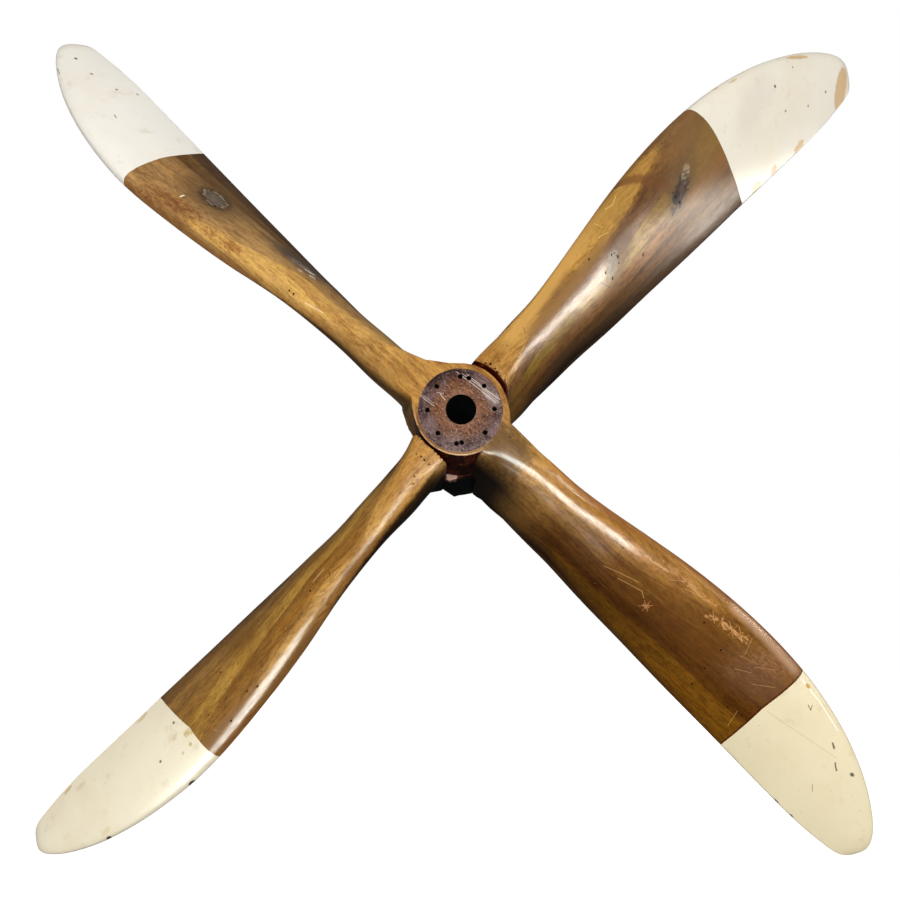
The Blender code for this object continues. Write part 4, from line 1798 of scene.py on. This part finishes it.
LOWER_LEFT_PRICKS = (
    (133.2, -1.6, 96), (129.7, 9.5, 96), (129.9, 19.9, 96), (129.6, 32.2, 96), (168.6, 28, 96),
    (182, 36.9, 95.9), (457.6, -21.7, 37.1), (435.2, 40.1, 86), (489.7, 35.3, 79.9), (533.4, 57.2, 85.1),
    (626.6, -24.6, 15.8), (764.7, -3.2, 21), (750.4, 39.8, 48.4), (733.2, 84.2, 69.9), (708.7, 93.2, 74),
    (802.3, 36.3, 40.1), (837.8, 51.7, 43.3), (801.9, 101.5, 64.3),
)

TAN = "ceb086"
DARK = "543e30"
# the tips share one cream paint; each tip's colour is partly its own tint and partly painted light and
# shade, set lighter or darker to even out how strongly the lamps light it
UPPER_RIGHT_PAINT = PaintFinish(Side.UPPER_RIGHT, "e5dece", (
    Spot(1030, 40, 60, 30, "d6cdbe", 0.6, 20, 0.6, 1.2),
    Spot(1085, 40, 35, 26, "dad2c4", 0.5, 20, 0.6, 1.2), Spot(1219, 51, 32, 4.5, TAN, 1, -28, 0.15, 0.8),
    Spot(1310, -66, 40, 18, TAN, 1, 45, 0.1, 0.4), Spot(1140.4, -92, 18, 9, TAN, 1, 10, 0.15, 1.4),
    Spot(1050.6, -87, 11, 7, TAN, 1, 0, 0.15, 1.2), Spot(986.1, -85, 16, 8, TAN, 1, 10, 0.15, 1.4),
    Spot(1020.3, 106, 14, 3, TAN, 0.8, -12, 0.18, 1.8), Spot(970.6, 121, 10, 3, TAN, 0.8, -8, 0.18, 1.8),
    Spot(1117.7, 36.4, 3, 3, DARK, 0.9), Spot(1258.5, -47.8, 3, 2, DARK, 0.9),
    Spot(1193.7, -42.1, 2, 2, DARK, 0.9), Spot(1123.1, -15.8, 3, 2, DARK, 0.8),
    Spot(1190.2, 40.3, 2, 2, DARK, 0.8),
))
UPPER_LEFT_PAINT = PaintFinish(Side.UPPER_LEFT, "f3eee3", (
    Spot(1297.9, -26.8, 4, 3, DARK, 0.9), Spot(1237.7, -24.1, 3, 3, DARK, 0.8),
    Spot(1175.2, -40.6, 3, 3, DARK, 0.8), Spot(1157.6, -74.8, 3, 2, DARK, 0.7),
    *scratches(2, DARK, 0.8, (1092, 19, 1083, 21)),
    *scratches(1.8, DARK, 0.8, (1272, 34, 1292, 26)),
))
LOWER_LEFT_PAINT = PaintFinish(Side.LOWER_LEFT, "ede3c9", (
    Spot(994, -83, 16, 5, "dec8a0", 1, 0, 0.15, 1.2), Spot(1231.5, -88, 12, 4, "d4ba8c", 1, 0, 0.15, 1.2),
    Spot(970.2, 127.5, 10, 4, DARK, 1, 0, 0.15, 1), Spot(1200.7, 74, 8, 4, DARK, 1, 0, 0.15, 1),
    Spot(903, 44, 10, 8, "bea454", 0.9, 0, 0.2, 2.8, 0.8), Spot(910, 67.3, 4, 4, "bea45a", 0.9),
    Spot(935.6, 68.4, 4, 3, TAN, 0.8), Spot(933.8, 26, 9, 5, "d6c096", 0.7, 20, 0.4, 1.4),
    Spot(991.6, 41.7, 3, 3, DARK, 0.9), Spot(921, -2.8, 3, 3, DARK, 0.9),
    Spot(1190.2, 59, 14, 6, "decca0", 0.7), Spot(1195.4, -68, 14, 6, TAN, 0.4),
))
LOWER_RIGHT_PAINT = PaintFinish(Side.LOWER_RIGHT, "ebdeba", (
    # painted highlight: a near-white line along the leading edge of the tip
    *scratches(1.8, "fffcf0", 0.9, (928, 108.7, 995, 105.4), (995, 105.4, 1079, 91.8)),
    Spot(951.4, 109.7, 7, 4, "cea65c", 1, 0, 0.15, 1),
    *scratches(1.4, DARK, 0.8, (985, 83, 998, 80), (998, 80, 992, 88)),
    *scratches(2.6, DARK, 0.9, (1093, 66, 1105, 61)),
    *scratches(2.2, DARK, 0.9, (1136, 42, 1153, 34)),
    Spot(1183.7, 50.7, 6, 4, DARK, 0.9),
    *scratches(1.2, DARK, 0.6, (1150, -20, 1166, -30)),
    *scratches(1, "c4b082", 0.6, (943, 18.7, 1127, 50.4)),
    Spot(1147.6, -96, 8, 3, DARK, 0.9), Spot(1197.1, -96.5, 6, 3, DARK, 0.9),
))


FRONT_PAIR = BladePair("front_pair", (
    Blade(
        BladeShape(Side.UPPER_LEFT, 0.0, 0.003, 0.008),
        ((-0.09, 0.955), (-0.0505, 0.9423), (-0.0126, 0.9332), (0.0237, 0.9277), (0.0636, 0.917),
         (0.0956, 0.9113), (0.135, 0.9117)),
        UPPER_LEFT_WOOD, UPPER_LEFT_PAINT, UPPER_LEFT_PRICKS,
    ),
    Blade(
        BladeShape(Side.LOWER_RIGHT, 0.0, 0.027, 0.004),
        ((-0.092, 0.961), (0.0153, 0.9314), (0.135, 0.919)),
        LOWER_RIGHT_WOOD, LOWER_RIGHT_PAINT, LOWER_RIGHT_PRICKS,
    ),
))
REAR_PAIR = BladePair("rear_pair", (
    Blade(
        BladeShape(Side.UPPER_RIGHT, 0.009, 0.027, 0.003),
        ((-0.09, 0.936), (-0.0533, 0.9266), (-0.022, 0.9172), (0.0088, 0.9108), (0.0433, 0.9031),
         (0.0747, 0.8927), (0.1043, 0.8795), (0.135, 0.868)),
        UPPER_RIGHT_WOOD, UPPER_RIGHT_PAINT, UPPER_RIGHT_PRICKS,
    ),
    Blade(
        BladeShape(Side.LOWER_LEFT, 0.003, 0.013, 0.008),
        ((-0.09, 0.934), (0.0389, 0.8916), (0.135, 0.883)),
        LOWER_LEFT_WOOD, LOWER_LEFT_PAINT, LOWER_LEFT_PRICKS,
    ),
))


@dataclass(frozen=True)
class SoftLight:
    """A rectangular light.

    Attributes:
        name: its name.
        place: where it stands.
        aim: the point it faces.
        size: its width and height.
        power: its strength in watts.
        kind: what it lights.
        spread: angle of its beam in degrees.
    """

    name: str
    place: tuple[float, float, float]
    aim: tuple[float, float, float]
    size: tuple[float, float]
    power: float
    kind: Lamp
    spread: float = 180.0

    def add(self) -> None:
        """Add the light to the scene."""
        data = bpy.data.lights.new(self.name, "AREA")
        data.shape = "RECTANGLE"
        data.size, data.size_y = self.size
        data.energy = self.power
        data.spread = math.radians(self.spread)
        data.color = self.kind.value
        lamp = bpy.data.objects.new(self.name, data)
        lamp.location = self.place
        lamp.rotation_euler = (Vector(self.aim) - Vector(self.place)).to_track_quat("-Z", "Y").to_euler()
        lamp.visible_diffuse = self.kind is Lamp.FILL
        lamp.visible_glossy = self.kind is not Lamp.FILL
        lamp.visible_camera = False
        bpy.context.scene.collection.objects.link(lamp)


SHAFT = (0.0, 0.0, 0.0)
LIGHTS = (
    SoftLight("front_light", (0.2, -4.4, 0.3), SHAFT, (3.0, 2.2), 272.0, Lamp.FILL),
    SoftLight("front_sheen", (0.2, -4.4, 0.3), SHAFT, (2.4, 1.8), 45.0, Lamp.WARM_GLOSS),
    SoftLight("window_light", (3.3, -0.92, 1.34), (0.5, 0.0, 0.5), (0.5, 0.36), 0.42, Lamp.WARM_GLOSS, 40.0),
    SoftLight("side_light", (3.3, -1.15, 0.32), (0.28, -0.1, 0.3), (0.55, 1.05), 4.7, Lamp.WARM_GLOSS,
              38.0),
    SoftLight("back_light", (-0.4, 4.4, 0.8), SHAFT, (3.0, 2.2), 170.0, Lamp.FILL),
    SoftLight("crest_light", (0.16, -1.6, -0.42), (0.22, -0.15, -0.2), (0.5, 0.75), 3.1, Lamp.COOL_GLOSS,
              40.0),
    SoftLight("low_light", (-0.68, -0.83, -0.85), (-0.42, -0.15, -0.58), (0.72, 0.62), 6.4, Lamp.COOL_GLOSS,
              60.0),
)


@dataclass(frozen=True)
class Studio:
    """Floor, lights, pale world and the camera.

    Attributes:
        camera_place: where the camera stands.
        camera_turn: its angles in degrees.
        lens: its focal length in millimetres, for a sensor 36 mm wide.
        shift: its shift to the right and up.
        floor_level: height of the floor.
        paleness: brightness of the world where it shows.
        world_light: brightness of the world as a light.
    """

    camera_place: tuple[float, float, float] = (-0.0467, -0.9741, -0.4996)
    camera_turn: tuple[float, float, float] = (91.4708, 1.2002, -0.6716)
    lens: float = 15.4577
    shift: tuple[float, float] = (0.002165, 0.21111)
    floor_level: float = -1.013
    paleness: float = 1.0
    world_light: float = 0.045

    def set_camera(self) -> None:
        """Add the camera at the photograph's angle."""
        data = bpy.data.cameras.new("camera")
        data.lens = self.lens
        data.sensor_width = 36.0
        data.shift_x, data.shift_y = self.shift
        data.clip_start = 0.05
        camera = bpy.data.objects.new("camera", data)
        camera.location = self.camera_place
        camera.rotation_euler = Euler([math.radians(part) for part in self.camera_turn], "XYZ")
        bpy.context.scene.collection.objects.link(camera)
        bpy.context.scene.camera = camera

    def set_world(self) -> None:
        """Give the world a pale colour and a weaker light."""
        world = bpy.data.worlds.new("pale_world")
        bpy.context.scene.world = world
        world.use_nodes = True
        tree = world.node_tree
        ground = tree.nodes["Background"]
        path = tree.nodes.new("ShaderNodeLightPath")
        level = tree.nodes.new("ShaderNodeMapRange")
        level.inputs[3].default_value = self.world_light
        level.inputs[4].default_value = self.paleness
        tree.links.new(path.outputs["Is Camera Ray"], level.inputs[0])
        tree.links.new(level.outputs[0], ground.inputs["Strength"])
        ground.inputs["Color"].default_value = (1.0, 1.0, 1.0, 1.0)

    def add_floor(self) -> None:
        """Lay a large pale floor under the lower tips."""
        shape = bmesh.new()
        bmesh.ops.create_circle(shape, cap_ends=True, segments=64, radius=60.0)
        bmesh.ops.translate(shape, verts=shape.verts, vec=(0.0, 0.0, self.floor_level))
        floor = add_object("floor", shape)
        graph = Graph("pale_floor")
        clouds = graph.grain(graph.place, 0.4, 2.0)
        colour = graph.blend(clouds * 0.2, (0.42, 0.42, 0.42), (0.40, 0.40, 0.40))
        floor.data.materials.append(graph.finish(colour, 0.9, Emission_Color=(1.0, 1.0, 1.0, 1.0),
                                                 Emission_Strength=1.0))
        floor.visible_diffuse = False
        floor.visible_glossy = False
        floor.visible_shadow = False

    def build(self) -> None:
        """Set up the whole studio."""
        scene = bpy.context.scene
        scene.view_settings.view_transform = "Standard"
        scene.view_settings.look = "None"
        self.set_camera()
        self.set_world()
        self.add_floor()
        for light in LIGHTS:
            light.add()
        LOG.info("studio ready")


def main() -> None:
    """Build every piece."""
    logging.basicConfig(level=logging.INFO)
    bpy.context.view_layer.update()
    hub = Hub()
    for pair in (FRONT_PAIR, REAR_PAIR):
        pair.build(hub)
    Studio().build()


if __name__ == "__main__":
    main()
